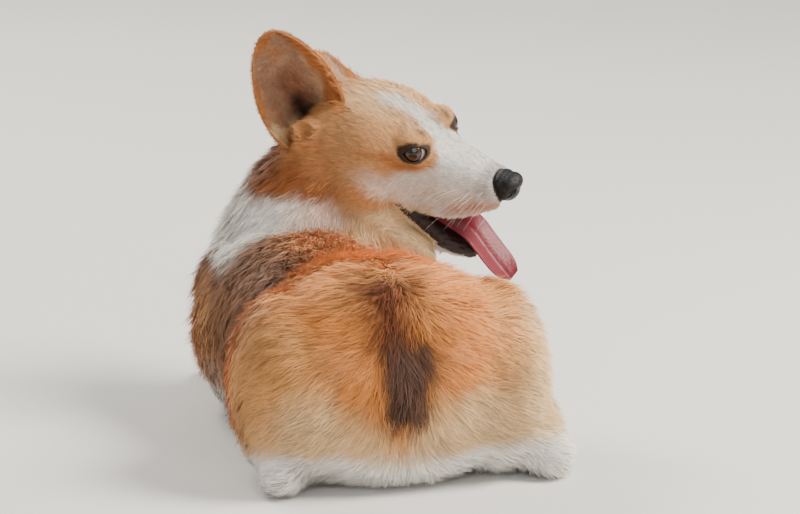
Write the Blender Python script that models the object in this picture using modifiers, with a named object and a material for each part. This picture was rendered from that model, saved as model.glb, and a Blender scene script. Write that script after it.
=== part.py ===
"""A Pembroke Welsh Corgi at life size, lying on its chest and looking back over its right shoulder.

The dog's front faces -Y, its left side is +X and the floor is z = 0. Tables and sizes are in
millimetres, and MM turns them into Blender's metres.
"""

import math

import bmesh
import bpy
import numpy as np
from mathutils import Matrix, Vector

MM = 0.001

# Driving sizes of the dog, in millimetres
GAP = 0.3  # left between nodes that touch
REACH = 1000.0  # side of the blocks that stand for half of space
EYE_RADIUS = 10.5
EYE_APART = 26.5  # from the head's middle to each eye's centre
EYE_AHEAD = -1.0
EYE_HIGH = 0.5
BODY_TRIANGLES = 3200  # of the whole skin, before the head is cut off
HEAD_TRIANGLES = 3600  # of the whole skin, before the body is cut off

CHEST_MIDDLE = 12.0

LEFT_LEG_OUT = -8.0
RIGHT_LEG_OUT = 24.0

# Where the head is held: the point between the eyes, then its turn, nod and tilt in degrees
HEAD_PLACE = (-88.0, -73.0, 234.5)
HEAD_TURN = -133.9
HEAD_NOD = -8.9
HEAD_TILT = 17.6

# The trunk from rump to chest: station along Y, middle X, half width, top and underside
TRUNK = [
    (187, -5, 40, 126, 44),
    (174, -4, 80, 152, 16),
    (145, -3, 103, 169, -4),
    (105, 0, 108, 176, -8),
    (60, 5, 98, 171, -8),
    (20, 9, 86, 162, -6),
    (-25, 13, 84, 160, -6),
    (-70, 16, 87, 164, -8),
    (-110, 17, 89, 168, -8),
    (-145, 17, 82, 165, -4),
    (-175, 16, 63, 150, 14),
    (-196, 15, 36, 128, 42),
]

# The neck from the chest up to the skull: middle point, half width across X, half depth along Y
NECK = [
    ((10, -126, 92), 78, 60),
    ((8, -134, 130), 78, 62),
    ((1, -138, 165), 70, 60),
    ((-6, -138, 198), 56, 54),
    ((-18, -130, 222), 46, 46),
    ((-32, -118, 234), 38, 38),
]

# The skull and upper jaw, in the head's own frame: forward of the eyes, top, bottom, half width
SKULL = [
    (-108, 0, -28, 20),
    (-98, 18, -46, 41),
    (-78, 28, -62, 54),
    (-50, 30, -68, 57),
    (-26, 26, -66, 53),
    (-8, 18, -60, 43),
    (6, 9, -52, 33),
    (18, 2, -51, 28),
    (34, -3, -51, 25),
    (52, -8, -46, 21),
    (66, -13, -41, 17),
    (75, -17, -37, 11),
]

# The lower jaw, dropped open: forward, middle height, half height, half width
JAW = [
    (-66, -56, 22, 34),
    (-40, -68, 23.5, 38),
    (-16, -78.5, 19.5, 31),
    (4, -86.5, 13.5, 24),
    (22, -92.5, 9.5, 19),
    (36, -95.5, 7, 15),
    (46, -97, 4.5, 9),
]

# Lip lines on one side, in the head's frame: away from the middle, forward, up
UPPER_LIP = [(34, -12, -44), (29, 8, -51), (24, 30, -53), (18, 50, -48), (9, 67, -42)]
LOWER_LIP = [(33, -12, -48), (29, 0, -62), (23, 14, -76), (17, 28, -87), (8, 42, -94)]

# The tongue from the mouth's floor over the chin: middle line, half width, half thickness
TONGUE = [
    ((0, -14, -62), 15, 4.0),
    ((0, 6, -67), 17, 4.5),
    ((0, 24, -73), 17.5, 4.2),
    ((-2, 39, -78.5), 17, 3.8),
    ((-5, 50, -86), 16.5, 3.4),
    ((-7, 60.5, -94.5), 16.5, 3.0),
    ((-9, 70, -101), 16, 2.6),
    ((-10.5, 77, -105), 13, 2.2),
    ((-10.5, 82, -107.5), 7, 1.4),
]

# Half width and cup depth of an ear from root to tip, as shares of its length and in millimetres
EAR = [
    (0.00, 25, 33),
    (0.14, 32, 29),
    (0.32, 35, 21),
    (0.50, 33, 15),
    (0.65, 29, 11),
    (0.78, 23.5, 8),
    (0.89, 17, 5),
    (0.96, 11, 3),
    (1.00, 5, 1),
]


def clear_scene():
    for old in list(bpy.data.objects):
        bpy.data.objects.remove(old, do_unlink=True)


def link(mesh, name):
    made = bpy.data.objects.new(name, mesh)
    bpy.context.scene.collection.objects.link(made)
    return made


def curve_through(rows, count):
    """A smooth run of count rows through the given ones, by Catmull-Rom."""
    rows = np.array(rows, float)
    padded = np.vstack([2 * rows[0] - rows[1], rows, 2 * rows[-1] - rows[-2]])
    places = np.linspace(0, len(rows) - 1, count)
    index = np.minimum(places.astype(int), len(rows) - 2)
    t = (places - index)[:, None]
    a, b, c, d = (padded[index + k] for k in range(4))
    return 0.5 * (
        2 * b + (c - a) * t + (2 * a - 5 * b + 4 * c - d) * t**2 + (3 * b - a - 3 * c + d) * t**3
    )


def loft(name, rings, split=0):
    """A closed mesh through rings of equal length. split closes each end across a crescent."""
    form = bmesh.new()
    loops = [[form.verts.new(Vector(p) * MM) for p in ring] for ring in rings]
    sides = len(loops[0])
    for one, two in zip(loops, loops[1:]):
        for i in range(sides):
            j = (i + 1) % sides
            form.faces.new((one[i], one[j], two[j], two[i]))
    for loop in (loops[0], loops[-1]):
        if split:
            for i in range(sides // 2 - 1):
                form.faces.new((loop[i], loop[i + 1], loop[-2 - i], loop[-1 - i]))
            continue
        middle = form.verts.new(sum((v.co for v in loop), Vector()) / sides)
        for i in range(sides):
            form.faces.new((loop[i], loop[(i + 1) % sides], middle))
    bmesh.ops.recalc_face_normals(form, faces=form.faces)
    mesh = bpy.data.meshes.new(name)
    form.to_mesh(mesh)
    form.free()
    triangulate(mesh)
    return link(mesh, name)


def ring_of(middle, side, up, half_width, above, below, square=2.2, sides=56):
    """A superellipse round a point, with its own height above and below the middle."""
    middle, side, up = np.array(middle, float), np.array(side, float), np.array(up, float)
    points = []
    for i in range(sides):
        angle = 2 * math.pi * i / sides
        c, s = math.cos(angle), math.sin(angle)
        across = math.copysign(abs(c) ** (2 / square), c) * half_width
        high = math.copysign(abs(s) ** (2 / square), s) * (above if s > 0 else below)
        points.append(tuple(middle + side * across + up * high))
    return points


def ball(name, middle, radii, turn=(0, 0, 0), segments=32, rings=20):
    """An ellipsoid, turned by Euler angles in degrees."""
    form = bmesh.new()
    bmesh.ops.create_uvsphere(form, u_segments=segments, v_segments=rings, radius=1.0)
    mesh = bpy.data.meshes.new(name)
    form.to_mesh(mesh)
    form.free()
    scaled = Matrix.Diagonal(Vector([r * MM for r in radii] + [1.0]))
    turned = Matrix.Rotation(math.radians(turn[2]), 4, "Z")
    turned = turned @ Matrix.Rotation(math.radians(turn[1]), 4, "Y")
    turned = turned @ Matrix.Rotation(math.radians(turn[0]), 4, "X")
    mesh.transform(Matrix.Translation(Vector(middle) * MM) @ turned @ scaled)
    return link(mesh, name)


def limb(name, stations, sides=22):
    """A round limb through points, each with a radius."""
    rows = curve_through([(*p, r) for p, r in stations], 5 * len(stations))
    rings = []
    for i, row in enumerate(rows):
        ahead = Vector(rows[min(i + 1, len(rows) - 1)][:3] - rows[max(i - 1, 0)][:3]).normalized()
        side = ahead.cross(Vector((0, 0, 1)))
        side = side.normalized() if side.length > 0.05 else Vector((1, 0, 0))
        up = side.cross(ahead)
        rings.append(ring_of(row[:3], side, up, row[3], row[3], row[3], 2.0, sides))
    forms = [loft(name, rings)]
    for place, radius in (stations[0], stations[-1]):
        forms.append(ball(name + "_end", place, (radius,) * 3, (0, 0, 0), 16, 10))
    return forms


def head_frame():
    """The matrix from the head's own frame to the world."""
    turn = Matrix.Rotation(math.radians(HEAD_TURN), 4, "Z")
    nod = Matrix.Rotation(math.radians(-HEAD_NOD), 4, "X")
    tilt = Matrix.Rotation(math.radians(-HEAD_TILT), 4, "Y")
    return Matrix.Translation(Vector(HEAD_PLACE) * MM) @ turn @ nod @ tilt


def in_head(left, forward, up):
    """A point in the head's own frame, where the nose is towards -Y."""
    return (left, -forward, up)


def as_mesh(source, name):
    """The object as its modifiers leave it, as a new object. The source goes."""
    bpy.context.view_layer.update()
    graph = bpy.context.evaluated_depsgraph_get()
    mesh = bpy.data.meshes.new_from_object(source.evaluated_get(graph))
    mesh.transform(source.matrix_world)
    triangulate(mesh)
    made = link(mesh, name)
    bpy.data.objects.remove(source, do_unlink=True)
    return made


def triangulate(mesh):
    """Fixes how each face is split, so that a cut and its cutter agree."""
    form = bmesh.new()
    form.from_mesh(mesh)
    bmesh.ops.triangulate(form, faces=form.faces)
    form.to_mesh(mesh)
    form.free()


def copy_of(source, name):
    return link(source.data.copy(), name)


def join(forms, name):
    """One object that holds all the closed forms, still overlapping."""
    whole = bmesh.new()
    for form in forms:
        whole.from_mesh(form.data)
        bpy.data.objects.remove(form, do_unlink=True)
    mesh = bpy.data.meshes.new(name)
    whole.to_mesh(mesh)
    whole.free()
    return link(mesh, name)


def fuse(forms, name, voxel, smoothing):
    """One skin over overlapping forms, rounded where they meet."""
    whole = join(forms, name + "_forms")
    remesh = whole.modifiers.new("Remesh", "REMESH")
    remesh.mode = "VOXEL"
    remesh.voxel_size = voxel * MM
    smooth = whole.modifiers.new("Smooth", "SMOOTH")
    smooth.factor = 0.5
    smooth.iterations = smoothing
    return as_mesh(whole, name)


def thinned(source, triangles):
    """The same surface with about that many triangles."""
    source.data.calc_loop_triangles()
    fewer = source.modifiers.new("Decimate", "DECIMATE")
    fewer.ratio = min(1.0, triangles / len(source.data.loop_triangles))
    return as_mesh(source, source.name)


def grown(source, name, by=GAP):
    """A copy whose faces all stand out by a little, to leave a gap round what it cuts."""
    form = bmesh.new()
    form.from_mesh(source.data)
    moves = []
    for vertex in form.verts:
        normals = np.array([face.normal for face in vertex.link_faces])
        wanted = np.full(len(normals), by * MM)
        move = Vector(np.linalg.lstsq(normals, wanted, rcond=0.1)[0])
        moves.append(move * min(1.0, 3 * by * MM / max(move.length, 1e-9)))
    for vertex, move in zip(form.verts, moves):
        vertex.co += move
    mesh = bpy.data.meshes.new(name)
    form.to_mesh(mesh)
    form.free()
    return link(mesh, name)


def combine(target, tool, operation, keep_tool=False):
    """The target with a Boolean of the tool applied."""
    name = target.name
    cut = target.modifiers.new("Boolean", "BOOLEAN")
    cut.operation = operation
    cut.solver = "MANIFOLD"
    cut.object = tool
    made = as_mesh(target, name + "_cut")
    made.name = name
    if not keep_tool:
        bpy.data.objects.remove(tool, do_unlink=True)
    return made


def largest_surface(source):
    """Leaves only the largest closed surface of an object."""
    form = bmesh.new()
    form.from_mesh(source.data)
    left, pieces = set(form.faces), []
    while left:
        piece, edge = [], [left.pop()]
        while edge:
            face = edge.pop()
            piece.append(face)
            for side in face.edges:
                for other in side.link_faces:
                    if other in left:
                        left.remove(other)
                        edge.append(other)
        pieces.append(piece)
    pieces.sort(key=lambda faces: sum(f.calc_area() for f in faces))
    scraps = [face for piece in pieces[:-1] for face in piece]
    bmesh.ops.delete(form, geom=scraps, context="FACES")
    form.to_mesh(source.data)
    form.free()
    return source


def half_space(name, point, normal):
    """A block on the side of a plane that its normal points to."""
    form = bmesh.new()
    bmesh.ops.create_cube(form, size=REACH * MM)
    mesh = bpy.data.meshes.new(name)
    form.to_mesh(mesh)
    form.free()
    normal = Vector(normal).normalized()
    turned = normal.to_track_quat("Z", "Y").to_matrix().to_4x4()
    middle = Vector(point) * MM + normal * (REACH * MM / 2)
    mesh.transform(Matrix.Translation(middle) @ turned)
    return link(mesh, name)


def parted(whole, point, normal, piece_name):
    """Cuts the whole in two at a plane: the piece ahead of it, and the rest behind a thin gap."""
    normal = Vector(normal).normalized()
    piece = copy_of(whole, piece_name)
    piece = combine(piece, half_space("ahead", point, normal), "INTERSECT")
    behind = Vector(point) - normal * GAP
    rest = combine(whole, half_space("behind", behind, -normal), "INTERSECT")
    return largest_surface(piece), largest_surface(rest)


def carved(whole, zone, piece_name):
    """Takes what lies in the zone out of the whole as a piece, with a thin gap round it."""
    piece = combine(copy_of(whole, piece_name), zone, "INTERSECT", keep_tool=True)
    rest = combine(whole, grown(zone, "zone_gap"), "DIFFERENCE")
    bpy.data.objects.remove(zone, do_unlink=True)
    return largest_surface(piece), largest_surface(rest)


def trunk():
    rows = curve_through(TRUNK, 60)
    rings = []
    for y, x, half_width, top, bottom in rows:
        middle = 0.46 * top + 0.54 * bottom
        above, below = top - middle, middle - bottom
        rings.append(ring_of((x, y, middle), (1, 0, 0), (0, 0, 1), half_width, above, below))
    return [loft("trunk", rings)]


def neck():
    """The neck's column, and the ruff that the turned head pushes over the right shoulder."""
    rows = curve_through([(*p, w, d) for p, w, d in NECK], 30)
    rings = [ring_of(r[:3], (1, 0, 0), (0, 1, 0), r[3], r[4], r[4], 2.0) for r in rows]
    forms = [loft("neck_column", rings)]
    forms.append(ball("throat", (-44, -104, 152), (46, 44, 42)))
    forms.append(ball("ruff_fold", (-58, -76, 134), (34, 42, 30), (0, 0, 20)))
    return forms


def haunch(side, out, more=0.0):
    """Thigh and folded lower leg. side is 1 on the left, and out moves the leg from the body."""
    thigh = (side * (79 + 0.4 * out), 108, 74)
    forms = [ball("thigh", thigh, (46 + more, 78 + more, 80 + more), (0, 0, side * 8))]
    forms += limb(
        "shin",
        [
            ((side * (84 + out), 52, 44), 32 + more),
            ((side * (90 + out), 100, 38), 31 + more),
            ((side * (92 + out), 146, 28), 23 + more),
        ],
    )
    return forms


def hind_foot(side, out, more=0.0):
    """Heel and foot along the floor beside the thigh, as far as the paw."""
    return limb(
        "heel",
        [
            ((side * (100 + out), 156, 17), 19 + more),
            ((side * (94 + out), 110, 14), 17 + more),
            ((side * (90 + out), 92, 14), 17 + more),
        ],
    )


def foreleg(side, middle, more=0.0):
    """Shoulder, upper arm and forearm beside the chest."""
    forms = [
        ball("shoulder", (middle + side * 52, -128, 98), (36 + more, 46 + more, 58 + more), (-18, 0, 0)),
        ball("upper_arm", (middle + side * 54, -112, 62), (31 + more, 44 + more, 44 + more)),
    ]
    forms += limb(
        "forearm",
        [
            ((middle + side * 55, -92, 33), 28 + more),
            ((middle + side * 52, -136, 27), 25 + more),
            ((middle + side * 43, -180, 19), 19 + more),
            ((middle + side * 38, -214, 16), 18 + more),
        ],
    )
    return forms


def paw_form(name, middle, wrist, rear):
    """A paw with four toes and claws, from the tips back to a plane at rear along Y."""
    x, y = middle
    forms = [ball("pad", (x, y + 4, 14), (21, 26, 17)), ball("pad", (x, y + 24, 16), (18, 24, 17.5))]
    for across, ahead, high in ((-15, 13, 8), (-5.4, 21, 10), (5.4, 21, 10), (15, 13, 8)):
        forms.append(ball("toe", (x + across, y - ahead, high), (7.4, 14, high)))
        forms.append(ball("knuckle", (x + across * 0.8, y - ahead + 9, high + 6), (7.2, 11, 8)))
    forms += limb("wrist", [((x, y + 20, 16), 16), (wrist, 18), ((wrist[0], wrist[1] + 14, 17), 18.5)])
    paw = thinned(fuse(forms, name, 1.9, 3), 360)
    paw = combine(paw, half_space("floor", (0, 0, 0), (0, 0, 1)), "INTERSECT")
    paw = combine(paw, half_space("ahead", (0, rear, 0), (0, -1, 0)), "INTERSECT")
    for across, ahead in ((-15, 24), (-5.4, 32.5), (5.4, 32.5), (15, 24)):
        rings = []
        for reach, high, radius in ((-4, 8.5, 2.9), (5, 7.0, 2.4), (11.5, 1.8, 0.7)):
            place = (x + across, y - ahead - reach, high)
            rings.append(ring_of(place, (1, 0, 0), (0, 0, 1), radius * 0.8, radius, radius, 2.0, 6))
        paw = combine(paw, loft("claw", rings), "UNION")
    paw.name = name
    return largest_surface(paw)


def skull(pose):
    """Skull, both jaws, brows, cheeks and lips."""
    rings = []
    for forward, top, bottom, half_width in curve_through(SKULL, 60):
        middle = 0.5 * (top + bottom) - 2
        place = in_head(0, forward, middle)
        above, below = top - middle, middle - bottom
        rings.append(ring_of(place, (1, 0, 0), (0, 0, 1), half_width, above, below, 2.35))
    forms = [loft("skull", rings)]
    rings = []
    for forward, middle, half, half_width in curve_through(JAW, 36):
        place = in_head(0, forward, middle)
        rings.append(ring_of(place, (1, 0, 0), (0, 0, 1), half_width, half, half, 2.3))
    forms.append(loft("jaw", rings))
    for side in (1, -1):
        forms.append(ball("brow", in_head(side * 21, -5, 8.5), (15, 14, 11), (0, 0, side * 20)))
        forms.append(ball("lid_bulge", in_head(side * EYE_APART, EYE_AHEAD, EYE_HIGH), (13, 13, 12)))
        forms.append(ball("cheek", in_head(side * 40, -46, -38), (24, 34, 30)))
        forms.append(ball("flew", in_head(side * 12, 57, -31), (11, 19, 16)))
        for line, radius in ((UPPER_LIP, 4.2), (LOWER_LIP, 5.0)):
            lip = [(in_head(side * left, forward, up), radius) for left, forward, up in line]
            forms += limb("lip", lip)
    forms.append(ball("ear_mound", in_head(-42, -87, -2), (17, 18, 18)))
    forms.append(ball("ear_mound", in_head(40, -88, -15), (16, 16, 16)))
    for form in forms:
        form.data.transform(pose)
    return forms


def eye_opening(side, pose):
    """An almond between two balls, which opens the lids over the eye."""
    width, height = 14.0, 8.2
    socket = in_head(side * (EYE_APART + 9), EYE_AHEAD + 9, EYE_HIGH + 2)
    upper = ball("lid_cut", (0, 0, height), (width, 16, width), (0, 0, 0), 20, 12)
    lower = ball("lid_cut", (0, 0, -height), (width, 16, width), (0, 0, 0), 20, 12)
    almond = combine(upper, lower, "INTERSECT")
    turn = Matrix.Rotation(math.radians(side * 50), 4, "Z")
    almond.data.transform(Matrix.Translation(Vector(socket) * MM) @ turn)
    almond.data.transform(pose)
    return almond


def eye_ball(side, pose, name, more=0.0):
    middle = in_head(side * EYE_APART, EYE_AHEAD, EYE_HIGH)
    eye = ball(name, middle, (EYE_RADIUS + more,) * 3, (0, 0, 0), 16, 10)
    eye.data.transform(pose)
    return eye


def nose_form(pose, more=0.0):
    """The nose leather: two wings and a rounded front."""
    forms = [
        ball("nose", in_head(0, 75, -25), (12 + more, 11 + more, 12.5 + more)),
        ball("nose", in_head(7, 72, -26), (7.5 + more, 9 + more, 9.5 + more)),
        ball("nose", in_head(-7, 72, -26), (7.5 + more, 9 + more, 9.5 + more)),
    ]
    whole = fuse(forms, "nose", 1.4, 4)
    whole.data.transform(pose)
    return whole


def nostril(side, pose):
    turn = (0, side * 24, side * -24)
    cut = ball("nostril", in_head(side * 7.0, 84.5, -25), (3.2, 5.5, 4.0), turn, 10, 6)
    turn = (0, side * 24, 0)
    slit = ball("nostril", in_head(side * 10.5, 82, -29), (4.2, 4.5, 1.5), turn, 10, 6)
    cut.data.transform(pose)
    slit.data.transform(pose)
    return [cut, slit]


def tongue_form(pose):
    """A flat strip with raised edges and a groove along its middle."""
    rows = curve_through([(*in_head(*p), w, t) for p, w, t in TONGUE], 15)
    rings = []
    for i, row in enumerate(rows):
        ahead = Vector(rows[min(i + 1, len(rows) - 1)][:3] - rows[max(i - 1, 0)][:3]).normalized()
        side = Vector((1, 0, 0))
        up = ahead.cross(side).normalized()
        if up.z < 0:
            up = -up
        half_width, half = row[3], row[4]
        ring = []
        across = [math.cos(math.pi * k / 8) for k in range(9)]
        for sign, shares in ((1, across), (-1, across[::-1])):
            for share in shares:
                thick = half * math.sqrt(max(0.06, 1 - share**2))
                cup = 5.5 * abs(share) ** 1.5
                groove = 1.5 * math.exp(-((share / 0.16) ** 2)) if sign > 0 else 0.0
                high = cup + sign * thick - groove
                ring.append(tuple(Vector(row[:3]) + side * half_width * share + up * high))
        rings.append(ring)
    tongue = loft("tongue", rings, split=1)
    tongue.data.transform(pose)
    return tongue


def ear_form(name, pose, root, tip, facing, wide, thick=2.6):
    """A cupped leaf from root to tip, open towards facing. All three are in the head's frame."""
    root, tip = Vector(in_head(*root)), Vector(in_head(*tip))
    along = (tip - root).normalized()
    facing = Vector(in_head(*facing))
    facing = (facing - along * facing.dot(along)).normalized()
    side = along.cross(facing)
    length = (tip - root).length
    rings = []
    for share, half_width, cup in curve_through(EAR, 12):
        middle = root + along * (share * length) - facing * (6 * math.sin(math.pi * share))
        ring = []
        places = [math.cos(math.pi * k / 8) for k in range(9)]
        for back, order in ((1, places), (-1, places[::-1])):
            for place in order:
                if back < 0:
                    place = place * 0.93
                wall = thick * (1 - 0.45 * place**2) * (1 - 0.35 * share)
                deep = cup * (place**2 - 1) - back * wall
                point = middle + side * half_width * wide * place + facing * deep
                ring.append(tuple(point))
        rings.append(ring)
    ear = loft(name, rings, split=1)
    ear.data.transform(pose)
    return ear


def tail_form():
    """The short tail, carried down over the rump, and the room it takes in the torso."""
    stations = [((6, 150, 134), 14), ((7, 170, 122), 15), ((6, 181, 100), 13), ((4, 185, 78), 8)]
    whole = thinned(fuse(limb("tail", stations), "tail", 3.0, 4), 420)
    return whole, grown(whole, "tail_gap")


def flesh(pose):
    """The whole dog as one fine skin."""
    body = trunk() + neck()
    for side, out in ((1, LEFT_LEG_OUT), (-1, RIGHT_LEG_OUT)):
        body += haunch(side, out) + hind_foot(side, out) + foreleg(side, CHEST_MIDDLE)
    coarse = fuse(body, "body_core", 4.0, 12)
    fine = fuse(skull(pose), "head_core", 2.0, 4)
    return fuse([coarse, fine], "flesh", 2.3, 3)


def paint(node, colour, roughness):
    """A plain finish in the colour that most of the node shows."""
    finish = bpy.data.materials.new(node.name)
    finish.use_nodes = True
    shader = finish.node_tree.nodes["Principled BSDF"]
    shader.inputs["Base Color"].default_value = (*colour, 1.0)
    shader.inputs["Roughness"].default_value = roughness
    shader.inputs["Metallic"].default_value = 0.0
    node.data.materials.clear()
    node.data.materials.append(finish)
    node.data.shade_smooth()
    node.data.set_sharp_from_angle(angle=math.radians(50))


RED = ((0.47, 0.22, 0.08), 0.85)
RUST = ((0.30, 0.12, 0.045), 0.85)
SABLE = ((0.17, 0.085, 0.05), 0.85)
CREAM = ((0.72, 0.56, 0.38), 0.85)
WHITE = ((0.82, 0.78, 0.70), 0.85)
EYE = ((0.05, 0.025, 0.012), 0.05)
LEATHER = ((0.02, 0.018, 0.018), 0.35)
PINK = ((0.62, 0.24, 0.25), 0.25)

FINISH = {
    "head": RED,
    "neck": RUST,
    "torso": RED,
    "chest": WHITE,
    "rump": RED,
    "tail": SABLE,
    "ear": RED,
    "eye": EYE,
    "nose": LEATHER,
    "tongue": PINK,
    "foreleg": WHITE,
    "forepaw": WHITE,
    "hind_leg": CREAM,
    "hind_foot": CREAM,
    "hind_paw": WHITE,
}


def build():
    clear_scene()
    pose = head_frame()
    whole = flesh(pose)

    # The head keeps finer triangles than the body, and both come from the same fine skin
    fused = fuse(skull(pose), "fused", 5.0, 3)
    zone = thinned(grown(fused, "zone", 4.0), 300)
    bpy.data.objects.remove(fused, do_unlink=True)
    head = thinned(copy_of(whole, "head"), HEAD_TRIANGLES)
    head_skin = grown(head, "head_skin")
    head = largest_surface(combine(head, zone, "INTERSECT", keep_tool=True))
    torso = thinned(whole, BODY_TRIANGLES)
    torso = combine(torso, half_space("floor", (0, 0, 0), (0, 0, 1)), "INTERSECT")
    torso = largest_surface(combine(torso, grown(zone, "zone_gap", 2 * GAP), "DIFFERENCE"))
    bpy.data.objects.remove(zone, do_unlink=True)
    tail, torso_room = tail_form()
    torso = largest_surface(combine(torso, torso_room, "DIFFERENCE"))
    body_skin = grown(torso, "body_skin")
    head = largest_surface(combine(head, body_skin, "DIFFERENCE", keep_tool=True))
    head.name, torso.name = "head", "torso"

    nodes = {"tail": tail}
    for side, word in ((1, "left"), (-1, "right")):
        head = combine(head, eye_opening(side, pose), "DIFFERENCE")
        head = combine(head, eye_ball(side, pose, "socket", GAP), "DIFFERENCE")
        nodes[word + "_eye"] = eye_ball(side, pose, word + "_eye")
    nose = thinned(nose_form(pose), 320)
    head = combine(head, grown(nose, "nose_gap"), "DIFFERENCE")
    for side in (1, -1):
        for cut in nostril(side, pose):
            nose = combine(nose, cut, "DIFFERENCE")
    nodes["nose"] = largest_surface(nose)
    tongue = tongue_form(pose)
    head = combine(head, grown(tongue, "tongue_gap", 2 * GAP), "DIFFERENCE")
    nodes["tongue"] = tongue

    ears = (
        ("right_ear", (-41, -85, -6), (-63, -115, 99), (-0.80, 0.55, 0.1), 1.0),
        ("left_ear", (42, -86, 4), (92, -160, -6), (0.62, -0.1, 0.75), 0.98),
    )
    for name, root, tip, facing, wide in ears:
        side = 1 if name == "left_ear" else -1
        concha = ball("concha", in_head(side * 50, -88, 13), (10, 12, 16), (0, 0, side * 30), 16, 10)
        concha.data.transform(pose)
        head = combine(head, concha, "DIFFERENCE")
        ear = ear_form(name, pose, root, tip, facing, wide)
        ear = combine(ear, head_skin, "DIFFERENCE", keep_tool=True)
        ear = combine(ear, body_skin, "DIFFERENCE", keep_tool=True)
        nodes[name] = largest_surface(ear)
    for skin in (head_skin, body_skin):
        bpy.data.objects.remove(skin, do_unlink=True)

    sides = ((1, "left", LEFT_LEG_OUT), (-1, "right", RIGHT_LEG_OUT))
    for side, word, out in sides:
        x = side * (86 + out)
        paw = paw_form(word + "_hind_paw", (x, 52), (x + side * 2, 74, 15), 84 - GAP)
        torso = combine(torso, grown(paw, "paw_gap"), "DIFFERENCE")
        nodes[word + "_hind_paw"] = paw
        x = CHEST_MIDDLE + side * 38
        paw = paw_form(word + "_forepaw", (x, -228), (x, -204, 17), -196 - GAP)
        torso = combine(torso, grown(paw, "paw_gap"), "DIFFERENCE")
        nodes[word + "_forepaw"] = paw
    for side, word, out in sides:
        zone = thinned(fuse(hind_foot(side, out, 2.0), "zone", 4.0, 3), 90)
        foot, torso = carved(torso, zone, word + "_hind_foot")
        zone = thinned(fuse(haunch(side, out, 8.0), "zone", 5.0, 4), 130)
        nodes[word + "_hind_leg"], torso = carved(torso, zone, word + "_hind_leg")
        zone = thinned(fuse(foreleg(side, CHEST_MIDDLE, 3.0), "zone", 5.0, 4), 180)
        leg, torso = carved(torso, zone, word + "_foreleg")
        heel = combine(foot, half_space("behind", (0, 84, 0), (0, 1, 0)), "INTERSECT")
        arm = combine(leg, half_space("behind", (0, -196, 0), (0, 1, 0)), "INTERSECT")
        nodes[word + "_hind_foot"] = largest_surface(heel)
        nodes[word + "_foreleg"] = largest_surface(arm)
    nodes["neck"], torso = parted(torso, (0, -98, 160), (0, -0.592, 0.806), "neck")
    nodes["chest"], torso = parted(torso, (0, -95, 0), (0, -1, 0), "chest")
    nodes["rump"], torso = parted(torso, (0, 72, 0), (0, 1, 0), "rump")
    nodes["torso"], nodes["head"] = torso, head
    for name, node in nodes.items():
        node.name = name
        paint(node, *FINISH[name.replace("left_", "").replace("right_", "")])


build()
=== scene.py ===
"""The looks of a life-size Pembroke Welsh Corgi: skin, coat, eyes, nose, mouth, ears and claws.

The dog's front faces -Y, its left side is +X and the floor is z = 0. Tables and sizes are in
millimetres, and MM turns them into Blender's metres.
"""

import math

import bmesh
import bpy
import numpy as np
from mathutils import Matrix, Vector
from mathutils.bvhtree import BVHTree
from mathutils.kdtree import KDTree


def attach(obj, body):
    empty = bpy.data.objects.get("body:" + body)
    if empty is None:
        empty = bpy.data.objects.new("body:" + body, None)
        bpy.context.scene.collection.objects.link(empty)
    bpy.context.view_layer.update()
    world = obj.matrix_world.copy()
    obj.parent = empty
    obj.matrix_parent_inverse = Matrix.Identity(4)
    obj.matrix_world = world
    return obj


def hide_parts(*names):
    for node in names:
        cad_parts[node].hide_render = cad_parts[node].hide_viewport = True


MM = 0.001

# Sizes that the solids share with the looks
EYE_RADIUS = 10.5
SOCKET_ROOM = 0.6
EYE_APART = 26.5  # from the head's middle to each eye's centre
EYE_AHEAD = -1.0
EYE_HIGH = 0.5
CHEST_MIDDLE = 12.0
LEFT_LEG_OUT = -8.0
RIGHT_LEG_OUT = 24.0
HEAD_PLACE = (-88.0, -73.0, 234.5)
HEAD_TURN = -133.9
HEAD_NOD = -8.9
HEAD_TILT = 17.6

# How fine the skin is, and how far over the floor its lowest hair stays
BODY_VOXEL = 3.0
HEAD_VOXEL = 1.3
SKIN_VOXEL = 1.8
FLOOR_CLEAR = 0.4

# The coat: hairs in one clump, how wide a hair's patch is on the skin's map, and the random seed
HAIRS_A_CLUMP = 11
PATCH = 0.003
COAT_SEED = 4

# Pieces of the coat: parts along a hair, its width, how far it leans to its clump, and hairs
COAT_PIECES = {
    "coat_ears": (2, 0.42, 0.2, 52000),
    "coat_face_right": (2, 0.42, 0.3, 60000),
    "coat_face_left": (2, 0.42, 0.3, 52000),
    "coat_neck": (3, 0.75, 0.4, 38000),
    "coat_front": (3, 0.9, 0.4, 30000),
    "coat_back": (3, 0.8, 0.4, 38000),
    "coat_rump_left": (3, 0.75, 0.35, 39500),
    "coat_rump_right": (3, 0.75, 0.35, 39500),
}

# Length of the hair, and what the rump, ruff and tail add to the body's
BODY_HAIR = 18
RUMP_MORE = 4
RUFF_MORE = 8
TAIL_MORE = 9
FACE_HAIR = 6.0
EAR_HAIR = 4.2

# How far the skin lies under the coat's surface: at least, and for each millimetre of hair
SKIN_UNDER = 0.8
SKIN_UNDER_EACH = 0.26

# How a hair leans from the skin, in degrees, strays and bends, in shares of its length, rolls, in
# radians, and how much of the skin's own normal shades it
LEAN = 22
LEAN_SPREAD = 7
STRAY = 0.11
BEND = 0.09
ROLL = 0.4
SKIN_SHADING = 0.65

# The trunk from rump to chest: station along Y, middle X, half width, top and underside
TRUNK = [
    (187, -5, 40, 126, 44),
    (174, -4, 80, 152, 16),
    (145, -3, 103, 169, -4),
    (105, 0, 108, 176, -8),
    (60, 5, 98, 171, -8),
    (20, 9, 86, 162, -6),
    (-25, 13, 84, 160, -6),
    (-70, 16, 87, 164, -8),
    (-110, 17, 89, 168, -8),
    (-145, 17, 82, 165, -4),
    (-175, 16, 63, 150, 14),
    (-196, 15, 36, 128, 42),
]

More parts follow.
